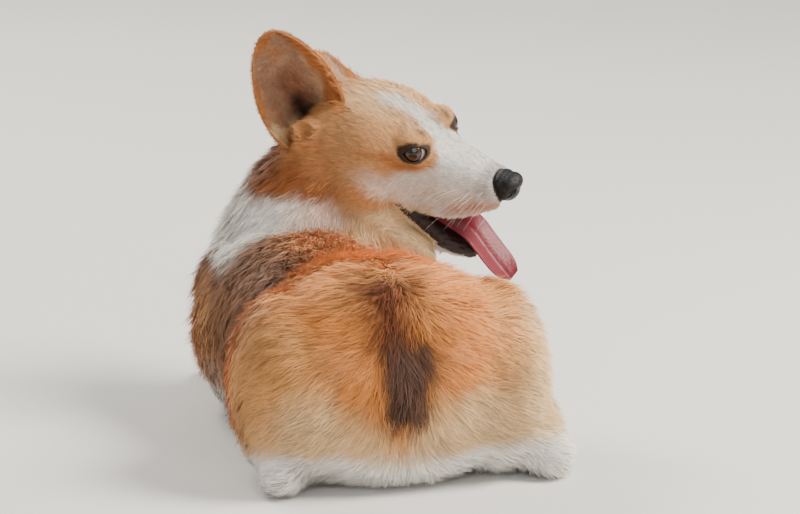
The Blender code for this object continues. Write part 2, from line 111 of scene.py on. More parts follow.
# The neck from the chest up to the skull: middle point, half width across X, half depth along Y
NECK = [
    ((10, -126, 92), 78, 60),
    ((8, -134, 130), 78, 62),
    ((1, -138, 165), 70, 60),
    ((-6, -138, 198), 56, 54),
    ((-18, -130, 222), 46, 46),
    ((-32, -118, 234), 38, 38),
]

# The skull and upper jaw, in the head's own frame: forward of the eyes, top, bottom, half width
SKULL = [
    (-108, 0, -28, 20),
    (-98, 18, -46, 41),
    (-78, 28, -62, 54),
    (-50, 30, -68, 57),
    (-26, 26, -66, 53),
    (-8, 18, -60, 43),
    (6, 9, -52, 33),
    (18, 2, -51, 28),
    (34, -3, -51, 25),
    (52, -8, -46, 21),
    (66, -13, -41, 17),
    (75, -17, -37, 11),
]

# The lower jaw, dropped open: forward, middle height, half height, half width
JAW = [
    (-66, -56, 22, 34),
    (-40, -68, 23.5, 38),
    (-16, -78.5, 19.5, 31),
    (4, -86.5, 13.5, 24),
    (22, -92.5, 9.5, 19),
    (36, -95.5, 7, 15),
    (46, -97, 4.5, 9),
]

# Lip lines on one side, in the head's frame: away from the middle, forward, up
UPPER_LIP = [(34, -12, -44), (29, 8, -51), (24, 30, -53), (18, 50, -48), (9, 67, -42)]
LOWER_LIP = [(33, -12, -48), (29, 0, -62), (23, 14, -76), (17, 28, -87), (8, 42, -94)]

# The tongue from the mouth's floor over the chin: middle line, half width, half thickness
TONGUE = [
    ((0, -14, -62), 15, 4.0),
    ((0, 6, -67), 17, 4.5),
    ((0, 24, -73), 17.5, 4.2),
    ((-2, 39, -78.5), 17, 3.8),
    ((-5, 50, -86), 16.5, 3.4),
    ((-7, 60.5, -94.5), 16.5, 3.0),
    ((-9, 70, -101), 16, 2.6),
    ((-10.5, 77, -105), 13, 2.2),
    ((-10.5, 82, -107.5), 7, 1.4),
]

# Half width and cup depth of an ear from root to tip, as shares of its length and in millimetres
EAR = [
    (0.00, 25, 33),
    (0.14, 32, 29),
    (0.32, 35, 21),
    (0.50, 33, 15),
    (0.65, 29, 11),
    (0.78, 23.5, 8),
    (0.89, 17, 5),
    (0.96, 11, 3),
    (1.00, 5, 1),
]

# The lids' edge, cut across: how far from the opening, in radians, and how far over the eyeball
LID_RINGS = 72
LID_EDGE = [
    (0.0, -0.15),
    (0.0, 0.5),
    (0.05, 0.95),
    (0.13, 1.0),
    (0.24, 0.7),
    (0.34, 0.0),
    (0.32, -1.3),
    (0.16, -0.6),
]

# Each ear: its sign, root, tip, the way its cup faces, in the head's frame, and its share of width
EARS = {
    "right_ear": (-1, (-41, -85, -6), (-63, -115, 99), (-0.80, 0.55, 0.1), 1.0),
    "left_ear": (1, (42, -86, 4), (92, -160, -6), (0.62, -0.1, 0.75), 0.98),
}

# The camera, from the photo's view: how far away, the width of a pixel there, its height angle and
# the way round the dog, and where the dog's middle on the floor falls in the frame
CAMERA_AWAY = 3.5
PIXEL = 0.00082
CAMERA_RISE = 12.0
CAMERA_ROUND = 165.0
FRAME_WIDTH, FRAME_HEIGHT = 800, 514
MIDDLE_PIXEL = (350, 440)
SENSOR = 36.0


def tone(red, green, blue):
    """A colour seen on a screen as the light it stands for."""
    shares = np.array([red, green, blue]) / 255.0
    return np.where(shares < 0.04045, shares / 12.92, ((shares + 0.055) / 1.055) ** 2.4)


# The coat's colours
ORANGE = tone(222, 138, 60)
TAN = tone(212, 152, 90)
RUST = tone(222, 156, 104)
SABLE = tone(134, 88, 56)
CROUP = tone(90, 34, 6)
# A lighter orange for the top of the rump: painted highlight where the light falls on it
RUMP_TOP_HIGHLIGHT = tone(250, 180, 108)
TAIL_BROWN = tone(86, 58, 44)
CREAM = tone(234, 204, 156)
# Cream for the trousers, darker than the white partly as painted shade
PANTS = tone(220, 188, 140)
WHITE = tone(240, 235, 226)
FACE_TAN = tone(212, 158, 104)
FACE_ORANGE = tone(188, 118, 62)
# Dark brown for the fold between head and neck: painted shade
NAPE_SHADE = tone(152, 88, 42)
EAR_ORANGE = tone(206, 136, 76)
EAR_GREY = tone(188, 148, 118)
# Brown for the middle of the ear's cup: its own brown, partly painted shade
EAR_BROWN_AND_SHADE = tone(154, 108, 80)
# Near black for the hollow at the ear's root: painted shade
EAR_HOLLOW_SHADE = tone(58, 32, 24)
BROW_DARK = tone(92, 66, 52)
LIP_PINK = tone(206, 146, 116)
LIP_SKIN = tone(40, 28, 27)
LIP_BLACK = tone(22, 17, 17)
MOUTH_DARK = tone(70, 22, 20)
TOOTH = tone(226, 206, 162)
TONGUE_PINK = tone(116, 38, 48)
HORN = tone(70, 58, 50)
LEATHER = np.array([0.010, 0.009, 0.010])

# The eye's colours from the middle of the pupil out, in shares of its radius
IRIS = [
    (0.0, (0.002, 0.002, 0.003)),
    (0.28, (0.002, 0.002, 0.003)),
    (0.33, (0.030, 0.014, 0.008)),
    (0.52, (0.052, 0.023, 0.011)),
    (0.62, (0.026, 0.012, 0.008)),
    (0.68, (0.008, 0.006, 0.006)),
    (0.73, (0.30, 0.25, 0.24)),
    (0.84, (0.12, 0.08, 0.08)),
    (1.0, (0.05, 0.03, 0.03)),
]


def link(data, name):
    """A new object for a mesh, lamp or camera, in the scene."""
    made = bpy.data.objects.new(name, data)
    bpy.context.scene.collection.objects.link(made)
    return made


def object_of(form, name):
    """A new object from a bmesh, which goes."""
    mesh = bpy.data.meshes.new(name)
    form.to_mesh(mesh)
    form.free()
    return link(mesh, name)


def curve_through(rows, count):
    """A smooth run of count rows through the given ones, by Catmull-Rom."""
    rows = np.array(rows, float)
    padded = np.vstack([2 * rows[0] - rows[1], rows, 2 * rows[-1] - rows[-2]])
    places = np.linspace(0, len(rows) - 1, count)
    index = np.minimum(places.astype(int), len(rows) - 2)
    t = (places - index)[:, None]
    a, b, c, d = (padded[index + k] for k in range(4))
    return 0.5 * (
        2 * b + (c - a) * t + (2 * a - 5 * b + 4 * c - d) * t**2 + (3 * b - a - 3 * c + d) * t**3
    )


def loft(name, rings, split=False, hoop=False):
    """A closed mesh through rings of equal length.

    split closes each end across a crescent, and hoop joins the last ring to the first.
    """
    form = bmesh.new()
    loops = [[form.verts.new(Vector(p) * MM) for p in ring] for ring in rings]
    sides = len(loops[0])
    for one, two in zip(loops, loops[1:] + loops[:1] * hoop):
        for i in range(sides):
            j = (i + 1) % sides
            form.faces.new((one[i], one[j], two[j], two[i]))
    for loop in () if hoop else (loops[0], loops[-1]):
        if split:
            for i in range(sides // 2 - 1):
                form.faces.new((loop[i], loop[i + 1], loop[-2 - i], loop[-1 - i]))
            continue
        middle = form.verts.new(sum((v.co for v in loop), Vector()) / sides)
        for i in range(sides):
            form.faces.new((loop[i], loop[(i + 1) % sides], middle))
    bmesh.ops.recalc_face_normals(form, faces=form.faces)
    return object_of(form, name)


def ring_of(middle, side, up, half_width, above, below, square=2.2, sides=56):
    """A superellipse round a point, with its own height above and below the middle."""
    middle, side, up = np.array(middle, float), np.array(side, float), np.array(up, float)
    points = []
    for i in range(sides):
        angle = 2 * math.pi * i / sides
        c, s = math.cos(angle), math.sin(angle)
        across = math.copysign(abs(c) ** (2 / square), c) * half_width
        high = math.copysign(abs(s) ** (2 / square), s) * (above if s > 0 else below)
        points.append(tuple(middle + side * across + up * high))
    return points


def ball(name, middle, radii, turn=(0, 0, 0), segments=32, rings=20):
    """An ellipsoid, turned by Euler angles in degrees."""
    form = bmesh.new()
    bmesh.ops.create_uvsphere(form, u_segments=segments, v_segments=rings, radius=1.0)
    made = object_of(form, name)
    turned = Matrix.Identity(4)
    for angle, axis in zip(turn[::-1], "ZYX"):
        turned = turned @ Matrix.Rotation(math.radians(angle), 4, axis)
    scaled = Matrix.Diagonal(Vector([r * MM for r in radii] + [1.0]))
    made.data.transform(Matrix.Translation(Vector(middle) * MM) @ turned @ scaled)
    return made


def way_at(rows, i):
    """The way that a run of points goes at one of them."""
    return Vector(rows[min(i + 1, len(rows) - 1)][:3] - rows[max(i - 1, 0)][:3]).normalized()


def limb(name, stations, sides=22):
    """A round limb through points, each with a radius."""
    rows = curve_through([(*p, r) for p, r in stations], 5 * len(stations))
    rings = []
    for i, row in enumerate(rows):
        ahead = way_at(rows, i)
        side = ahead.cross(Vector((0, 0, 1)))
        side = side.normalized() if side.length > 0.05 else Vector((1, 0, 0))
        up = side.cross(ahead)
        rings.append(ring_of(row[:3], side, up, row[3], row[3], row[3], 2.0, sides))
    forms = [loft(name, rings)]
    for place, radius in (stations[0], stations[-1]):
        forms.append(ball(name + "_end", place, (radius,) * 3, (0, 0, 0), 16, 10))
    return forms


def head_frame():
    """The matrix from the head's own frame to the world."""
    turn = Matrix.Rotation(math.radians(HEAD_TURN), 4, "Z")
    nod = Matrix.Rotation(math.radians(-HEAD_NOD), 4, "X")
    tilt = Matrix.Rotation(math.radians(-HEAD_TILT), 4, "Y")
    return Matrix.Translation(Vector(HEAD_PLACE) * MM) @ turn @ nod @ tilt


def in_head(left, forward, up):
    """A point in the head's own frame, where the nose is towards -Y."""
    return (left, -forward, up)


def eye_middle(side):
    """The eye's centre in the head's own frame. side is 1 on the left."""
    return in_head(side * EYE_APART, EYE_AHEAD, EYE_HIGH)


def as_mesh(source, name):
    """The object as its modifiers leave it, as a new object. The source goes."""
    bpy.context.view_layer.update()
    graph = bpy.context.evaluated_depsgraph_get()
    mesh = bpy.data.meshes.new_from_object(source.evaluated_get(graph))
    mesh.transform(source.matrix_world)
    made = link(mesh, name)
    bpy.data.objects.remove(source, do_unlink=True)
    return made


def join(forms, name):
    """One object that holds all the closed forms, still overlapping."""
    whole = bmesh.new()
    for form in forms:
        whole.from_mesh(form.data)
        bpy.data.objects.remove(form, do_unlink=True)
    return object_of(whole, name)


def fuse(forms, name, voxel, smoothing):
    """One skin over overlapping forms, rounded where they meet."""
    whole = join(forms, name + "_forms")
    remesh = whole.modifiers.new("Remesh", "REMESH")
    remesh.mode = "VOXEL"
    remesh.voxel_size = voxel * MM
    smooth = whole.modifiers.new("Smooth", "SMOOTH")
    smooth.factor = 0.5
    smooth.iterations = smoothing
    return as_mesh(whole, name)


def combine(target, tool, operation, keep_tool=False):
    """The target with a Boolean of the tool applied."""
    name = target.name
    cut = target.modifiers.new("Boolean", "BOOLEAN")
    cut.operation = operation
    cut.solver = "MANIFOLD"
    cut.object = tool
    made = as_mesh(target, name + "_cut")
    made.name = name
    if not keep_tool:
        bpy.data.objects.remove(tool, do_unlink=True)
    return made


def points_of(mesh):
    """A mesh's points in millimetres, one row each."""
    flat = np.empty(len(mesh.vertices) * 3, np.float32)
    mesh.vertices.foreach_get("co", flat)
    return flat.reshape(-1, 3).astype(float) / MM


def normals_of(mesh):
    """A mesh's normals at its points, one row each."""
    flat = np.empty(len(mesh.vertices) * 3, np.float32)
    mesh.vertex_normals.foreach_get("vector", flat)
    return flat.reshape(-1, 3).astype(float)


def place_points(mesh, points):
    """Moves a mesh's points to places in millimetres."""
    mesh.vertices.foreach_set("co", (points * MM).astype(np.float32).ravel())
    mesh.update()


def unit(rows):
    """Rows of length 1."""
    return rows / np.maximum(np.linalg.norm(rows, axis=1, keepdims=True), 1e-9)


def rise(value, low, high):
    """Rises smoothly from 0 at low to 1 at high."""
    share = np.clip((value - low) / (high - low), 0.0, 1.0)
    return share * share * (3 - 2 * share)


def fall(value, low, high):
    """Falls smoothly from 1 at low to 0 at high."""
    return 1 - rise(value, low, high)


def hump(value, middle, width):
    """1 at the middle, and lower on both sides of it."""
    return np.exp(-(((value - middle) / width) ** 2))


def ripple(points, size, seed):
    """Smooth noise between about -1 and 1, with bumps about as wide as size."""
    draw = np.random.default_rng(seed)
    total = np.zeros(len(points))
    for _ in range(7):
        way = draw.normal(size=3)
        way /= np.linalg.norm(way)
        length = size * draw.uniform(1.4, 3.2)
        total += np.sin(points @ way * (2 * math.pi / length) + draw.uniform(0, 2 * math.pi))
    return total / 2.6


def head_local(points):
    """Left, forward and up in the head's own frame."""
    back = np.array(head_frame().inverted())
    local = points @ back[:3, :3].T + back[:3, 3] / MM
    return local[:, 0], -local[:, 1], local[:, 2]


def along_lip(line, forward):
    """How far from the middle, and how high, a lip line is at a place along the jaw."""
    rows = np.array(line, float)
    return np.interp(forward, rows[:, 1], rows[:, 0]), np.interp(forward, rows[:, 1], rows[:, 2])


# Forms of the body, the same as the solids


def trunk():
    """The body from rump to chest."""
    rows = curve_through(TRUNK, 60)
    rings = []
    for y, x, half_width, top, bottom in rows:
        middle = 0.46 * top + 0.54 * bottom
        above, below = top - middle, middle - bottom
        rings.append(ring_of((x, y, middle), (1, 0, 0), (0, 0, 1), half_width, above, below))
    return [loft("trunk", rings)]


def neck():
    """The neck's column, and the ruff that the turned head pushes over the right shoulder."""
    rows = curve_through([(*p, w, d) for p, w, d in NECK], 30)
    rings = [ring_of(r[:3], (1, 0, 0), (0, 1, 0), r[3], r[4], r[4], 2.0) for r in rows]
    forms = [loft("neck_column", rings)]
    forms.append(ball("throat", (-44, -104, 152), (46, 44, 42)))
    forms.append(ball("ruff_fold", (-58, -76, 134), (34, 42, 30), (0, 0, 20)))
    return forms


def haunch(side, out):
    """Thigh and folded lower leg. side is 1 on the left, and out moves the leg from the body."""
    thigh = (side * (79 + 0.4 * out), 108, 74)
    forms = [ball("thigh", thigh, (46, 78, 80), (0, 0, side * 8))]
    stations = [
        ((side * (84 + out), 52, 44), 32),
        ((side * (90 + out), 100, 38), 31),
        ((side * (92 + out), 146, 28), 23),
    ]
    return forms + limb("shin", stations)


def hind_foot(side, out):
    """Heel and foot along the floor beside the thigh, as far as the paw."""
    stations = [
        ((side * (100 + out), 156, 17), 19),
        ((side * (94 + out), 110, 14), 17),
        ((side * (90 + out), 92, 14), 17),
    ]
    return limb("heel", stations)


def foreleg(side):
    """Shoulder, upper arm and forearm beside the chest."""
    middle = CHEST_MIDDLE
    forms = [
        ball("shoulder", (middle + side * 52, -128, 98), (36, 46, 58), (-18, 0, 0)),
        ball("upper_arm", (middle + side * 54, -112, 62), (31, 44, 44)),
    ]
    stations = [
        ((middle + side * 55, -92, 33), 28),
        ((middle + side * 52, -136, 27), 25),
        ((middle + side * 43, -180, 19), 19),
        ((middle + side * 38, -214, 16), 18),
    ]
    return forms + limb("forearm", stations)


def tail():
    """The short tail, carried down over the rump."""
    stations = [((6, 150, 134), 14), ((7, 170, 122), 15), ((6, 181, 100), 13), ((4, 185, 78), 8)]
    return limb("tail", stations)


def paws():
    """Where each paw is: its middle, and its wrist or heel."""
    places = []
    for side, out in ((1, LEFT_LEG_OUT), (-1, RIGHT_LEG_OUT)):
        x = side * (86 + out)
        places.append(((x, 52), (x + side * 2, 74, 15)))
        x = CHEST_MIDDLE + side * 38
        places.append(((x, -228), (x, -204, 17)))
    return places


def paw_form(middle, wrist):
    """A paw with four toes."""
    x, y = middle
    forms = [
        ball("pad", (x, y + 4, 14), (21, 26, 17)),
        ball("pad", (x, y + 24, 16), (18, 24, 17.5)),
    ]
    for across, ahead, high in ((-15, 13, 8), (-5.4, 21, 10), (5.4, 21, 10), (15, 13, 8)):
        forms.append(ball("toe", (x + across, y - ahead, high), (7.4, 14, high)))
        forms.append(ball("knuckle", (x + across * 0.8, y - ahead + 9, high + 6), (7.2, 11, 8)))
    stations = [((x, y + 20, 16), 16), (wrist, 18), ((wrist[0], wrist[1] + 14, 17), 18.5)]
    return forms + limb("wrist", stations)


def skull(pose):
    """Skull, both jaws, brows, cheeks and lips."""
    rings = []
    for forward, top, bottom, half_width in curve_through(SKULL, 60):
        middle = 0.5 * (top + bottom) - 2
        place = in_head(0, forward, middle)
        above, below = top - middle, middle - bottom
        rings.append(ring_of(place, (1, 0, 0), (0, 0, 1), half_width, above, below, 2.35))
    forms = [loft("skull", rings)]
    rings = []
    for forward, middle, half, half_width in curve_through(JAW, 36):
        place = in_head(0, forward, middle)
        rings.append(ring_of(place, (1, 0, 0), (0, 0, 1), half_width, half, half, 2.3))
    forms.append(loft("jaw", rings))
    for side in (1, -1):
        forms.append(ball("brow", in_head(side * 21, -5, 8.5), (15, 14, 11), (0, 0, side * 20)))
        forms.append(ball("lid_bulge", eye_middle(side), (13, 13, 12)))
        forms.append(ball("cheek", in_head(side * 40, -46, -38), (24, 34, 30)))
        forms.append(ball("flew", in_head(side * 12, 57, -31), (11, 19, 16)))
        for line, radius in ((UPPER_LIP, 4.2), (LOWER_LIP, 5.0)):
            forms += limb("lip", [(in_head(side * x, y, z), radius) for x, y, z in line])
        forms += limb("gum", [(in_head(side * (x - 5), y, z + 5.5), 6.0) for x, y, z in UPPER_LIP])
    forms.append(ball("ear_mound", in_head(-42, -87, -2), (17, 18, 18)))
    forms.append(ball("ear_mound", in_head(40, -88, -15), (16, 16, 16)))
    for form in forms:
        form.data.transform(pose)
    return forms


def eye_opening(side, pose):
    """An almond between two balls, which opens the lids over the eye."""
    width, height = 14.6, 7.6
    socket = in_head(side * (EYE_APART + 9), EYE_AHEAD + 9, EYE_HIGH + 2)
    upper = ball("lid_cut", (0, 0, height), (width, 16, width))
    lower = ball("lid_cut", (0, 0, -height), (width, 16, width))
    almond = combine(upper, lower, "INTERSECT")
    turn = Matrix.Rotation(math.radians(side * 50), 4, "Z")
    almond.data.transform(Matrix.Translation(Vector(socket) * MM) @ turn)
    almond.data.transform(pose)
    return almond


def eye_socket(side, pose):
    """A ball a little wider than the eye, which the skin makes room for."""
    socket = ball("socket", eye_middle(side), (EYE_RADIUS + SOCKET_ROOM,) * 3, (0, 0, 0), 64, 40)
    socket.data.transform(pose)
    return socket


def nose_form(pose):
    """The nose leather: two wings and a rounded front."""
    forms = [
        ball("nose", in_head(0, 73.5, -26), (11.5, 10.5, 12)),
        ball("nose", in_head(0, 76.5, -20.5), (12, 9.5, 7.5)),
        ball("nose", in_head(0, 69.5, -21.5), (13.5, 8.0, 9.2)),
        ball("nose", in_head(8, 73, -26), (6.5, 8.5, 8.5)),
        ball("nose", in_head(-8, 73, -26), (6.5, 8.5, 8.5)),
    ]
    whole = fuse(forms, "nose_leather", 0.6, 16)
    for side in (1, -1):
        turn = (0, side * 24, side * -24)
        cut = ball("nostril", in_head(side * 7.0, 84.5, -25), (3.2, 5.5, 4.0), turn)
        whole = combine(whole, cut, "DIFFERENCE")
        cut = ball("nostril", in_head(side * 10.5, 82, -29), (4.2, 4.5, 1.5), (0, side * 24, 0))
        whole = combine(whole, cut, "DIFFERENCE")
    cleft = ball("cleft", in_head(0, 86.5, -32), (0.7, 3.2, 9.5))
    whole = combine(whole, cleft, "DIFFERENCE")
    whole.data.transform(pose)
    return whole


def tongue_form(pose):
    """A flat strip with raised edges and a groove along its middle."""
    rows = curve_through([(*in_head(*p), w, t) for p, w, t in TONGUE], 60)
    rings = []
    for i, row in enumerate(rows):
        ahead = way_at(rows, i)
        side = Vector((1, 0, 0))
        up = ahead.cross(side).normalized()
        if up.z < 0:
            up = -up
        half_width, half = row[3], row[4]
        ring = []
        across = [math.cos(math.pi * k / 24) for k in range(25)]
        for sign, shares in ((1, across), (-1, across[::-1])):
            for share in shares:
                thick = half * math.sqrt(max(0.06, 1 - share**2))
                cup = 5.5 * abs(share) ** 1.5
                groove = 1.9 * math.exp(-((share / 0.14) ** 2)) if sign > 0 else 0.0
                high = cup + sign * thick - groove
                ring.append(tuple(Vector(row[:3]) + side * half_width * share + up * high))
        rings.append(ring)
    tongue = loft("tongue_flesh", rings, split=True)
    tongue.data.transform(pose)
    return tongue


def ear_frame(root, tip, facing):
    """An ear's root and length, and the ways along it, out of its cup and across it."""
    root, tip = Vector(in_head(*root)), Vector(in_head(*tip))
    along = (tip - root).normalized()
    facing = Vector(in_head(*facing))
    facing = (facing - along * facing.dot(along)).normalized()
    return root, (tip - root).length, along, facing, along.cross(facing)


def ear_form(name, pose, root, tip, facing, wide, thick=2.6):
    """A cupped leaf from root to tip, open towards facing. All three are in the head's frame."""
    root, length, along, facing, side = ear_frame(root, tip, facing)
    rings = []
    for share, half_width, cup in curve_through(EAR, 60):
        middle = root + along * (share * length) - facing * (6 * math.sin(math.pi * share))
        ring = []
        places = [math.cos(math.pi * k / 30) for k in range(31)]
        for back, order in ((1, places), (-1, places[::-1])):
            for place in order:
                if back < 0:
                    place = place * 0.93
                wall = thick * (1 - 0.45 * place**2) * (1 - 0.35 * share)
                deep = cup * (place**2 - 1) - back * wall
                point = middle + side * half_width * wide * place + facing * deep
                ring.append(tuple(point))
        rings.append(ring)
    ear = loft(name, rings, split=True)
    ear.data.transform(pose)
    return ear


# Where the coat grows, how long it is, how it lies and what colour it is


def ear_axes():
    """Each ear's frame, in arrays, and its share of width."""
    for _side, root, tip, facing, wide in EARS.values():
        root, length, *ways = ear_frame(root, tip, facing)
        yield np.array(root), length, *(np.array(way) for way in ways), wide


def on_ears(points):
    """How far up an ear a point is (-1 off the ears), how deep in its cup, how far across."""
    rows = np.array(EAR)
    left, forward, up = head_local(points)
    local = np.stack([left, -forward, up], 1)
    share = np.full(len(points), -1.0)
    deep, place = np.zeros(len(points)), np.zeros(len(points))
    for root, length, along, facing, across, wide in ear_axes():
        away = local - root
        high = away @ along / length
        half_width = np.interp(high, rows[:, 0], rows[:, 1]) * wide
        side = away @ across / half_width
        bow = 6 * np.sin(math.pi * np.clip(high, 0, 1))
        depth = away @ facing + bow - np.interp(high, rows[:, 0], rows[:, 2]) * (side**2 - 1)
        on = (high > 0.03) & (high < 1.05) & (np.abs(side) < 1.15) & (np.abs(depth) < 3.8)
        share = np.where(on, high, share)
        deep, place = np.where(on, depth, deep), np.where(on, side, place)
    return share, deep, place


def in_the_head(points):
    """1 on the head and 0 on the body, with a soft edge behind the cheeks."""
    left, forward, up = head_local(points)
    high = np.where(up < -36, 66 + 20 * rise(forward, -20, 20), 82)
    long = np.where(forward < -10, 104 + 16 * rise(up, -30, 0), 104)
    reach = np.sqrt((left / 62) ** 2 + ((forward + 10) / long) ** 2 + ((up + 36) / high) ** 2)
    share = fall(reach, 0.95, 1.12)
    for _sign, root, _tip, _facing, _wide in EARS.values():
        away = np.sqrt((left - root[0]) ** 2 + (forward - root[1]) ** 2 + (up - root[2]) ** 2)
        share = np.maximum(share, fall(away, 24, 40))
    return share


def mouth_inside(points):
    """1 on what shows between the lips and inside them, where no hair grows."""
    left, forward, up = head_local(points)
    wide_top, top = along_lip(UPPER_LIP, forward)
    wide_low, low = along_lip(LOWER_LIP, forward)
    side = np.abs(left)
    between = rise(up, low - 1.5, low + 1.0) * fall(side, wide_top + 3, wide_top + 6)
    inside = rise(up, low - 16, low - 13) * fall(side, wide_low - 4.5, wide_low - 2.5)
    edge = top - 3.5 * rise(side, wide_top - 3.5, wide_top - 0.5)
    open_part = np.maximum(between, inside) * fall(up, edge - 1.5, edge + 0.5)
    return open_part * rise(forward, -15, -11)


def eye_near(points):
    """How far a point of the face is from the nearer eye's opening, in opening sizes."""
    left, forward, up = head_local(points)
    away = np.full(len(points), 9.0)
    for side in (1, -1):
        out = left * side - EYE_APART - 9.4
        ahead = forward - EYE_AHEAD - 7.2
        along = ahead * 0.79 - out * 0.61
        high = up - EYE_HIGH - 1.8
        reach = np.sqrt(((along - 1.6) / 12.4) ** 2 + (high / 7.2) ** 2)
        near = (np.abs(out + 5) < 22) & (np.abs(ahead + 5) < 28)
        away = np.where(near, np.minimum(away, reach), away)
    return away


def coat_length(points):
    """Length of the hair."""
    _x, y, z = points.T
    head = in_the_head(points)
    _left, forward, up = head_local(points)
    body = BODY_HAIR + RUMP_MORE * rise(y, 60, 120)
    body = body + RUFF_MORE * rise(-y, 110, 160) * fall(z, 170, 205)
    low_leg = fall(z, 26, 48) * (1 - rise(y, 110, 150) * 0.6)
    body = body * (1 - 0.45 * low_leg)
    paw = (rise(-y, 188, 204) + fall(y, 62, 80) * rise(y, 10, 20)) * fall(z, 34, 44)
    body = body * (1 - 0.6 * np.clip(paw, 0, 1))
    face = FACE_HAIR + 7.0 * rise(-forward, 35, 80)
    face = face + 4.0 * rise(-up, 45, 75) * rise(-forward, -5, 30)
    face = face - 2.4 * rise(forward, -2, 26)
    face = face * (0.5 + 0.5 * rise(eye_near(points), 1.1, 2.4))
    length = head * face + (1 - head) * body
    share, deep, place = on_ears(points)
    inner = deep > 0
    ear = EAR_HAIR + inner * (2.5 * fall(share, 0.4, 0.9) + 5.0 * rise(place, 0.55, 0.9))
    ear = ear + (3.0 + 5.0 * rise(place, 0.2, 0.7)) * fall(share, 0.05, 0.28)
    length = length + TAIL_MORE * tail_share(points)
    return np.where(share > 0, ear, length)


def coat_depth(points):
    """How far under the coat's surface the skin lies."""
    depth = SKIN_UNDER + SKIN_UNDER_EACH * coat_length(points)
    return depth * (0.35 + 0.65 * rise(eye_near(points), 1.2, 2.4))


def ear_lie(points):
    """The way the hair lies on the ears, from the root and out to the edges."""
    share, deep, place = on_ears(points)
    left, _forward, _up = head_local(points)
    pose = np.array(head_frame())[:3, :3]
    lie = np.zeros((len(points), 3))
    for sign, (_root, _length, along, _facing, across, _wide) in zip((-1, 1), ear_axes()):
        fan = np.where(deep > 0, 0.5 * place - 1.3 * rise(place, 0.45, 0.8), 0.55 * place)
        way = along + across * fan[:, None]
        lie = np.where((left * sign > 0)[:, None], way @ pose.T, lie)
    return lie, share


def coat_lie(points, normals):
    """The way the hair lies, along the skin."""
    x, y, z = points.T
    head = in_the_head(points)[:, None]
    pose = np.array(head_frame())[:3, :3]
    left, _forward, up = head_local(points)
    out = 0.3 * np.sign(left) * rise(np.abs(left), 8, 40)
    face = np.stack([out, 1.0 + 0 * left, 0.15 - 0.5 * rise(-up, 5, 50)], 1)
    face = face @ pose.T
    down = -0.25 - 0.6 * rise(np.abs(x - 8), 30, 90)
    back = np.stack([0.006 * (x - 8), 0.9 + 0 * x, down], 1)
    apart = 1.35 * np.sign(x - 6) * rise(np.abs(x - 6), 4, 66)
    rump = np.stack([apart, -0.1 + 0 * x, -0.50 - 0.3 * fall(z, 40, 90)], 1)
    skull_back = np.array(head_frame() @ (Vector(in_head(0, -60, -20)) * MM)) / MM
    neck = unit(points - skull_back) + np.array([0.1, 0.3, -0.35])
    low = rise(y, 88, 130)[:, None]
    high = (rise(-y, 40, 90) * rise(z, 60, 120))[:, None]
    body = unit(back) * (1 - low) + unit(rump) * low
    body = body * (1 - high) + unit(neck) * high
    paw = (fall(z, 26, 44) * rise(-y, 90, 140))[:, None]
    body = body * (1 - paw) + np.array([[0, -1.0, -0.3]]) * paw
    lie = unit(face) * head + unit(body) * (1 - head)
    swirl = 0.22 * ripple(points, 46, 21)[:, None] + 0.14 * ripple(points, 18, 22)[:, None]
    lie = lie + np.cross(normals, lie) * swirl
    ears, share = ear_lie(points)
    lie = np.where((share > 0)[:, None], ears, lie)
    lie = lie - normals * np.sum(lie * normals, axis=1, keepdims=True)
    return unit(lie)


def painted(colour, *layers):
    """The colour under layers, each a colour and how much of it shows."""
    for over, share in layers:
        share = np.clip(share, 0, 1)[:, None]
        colour = colour * (1 - share) + over * share
    return colour


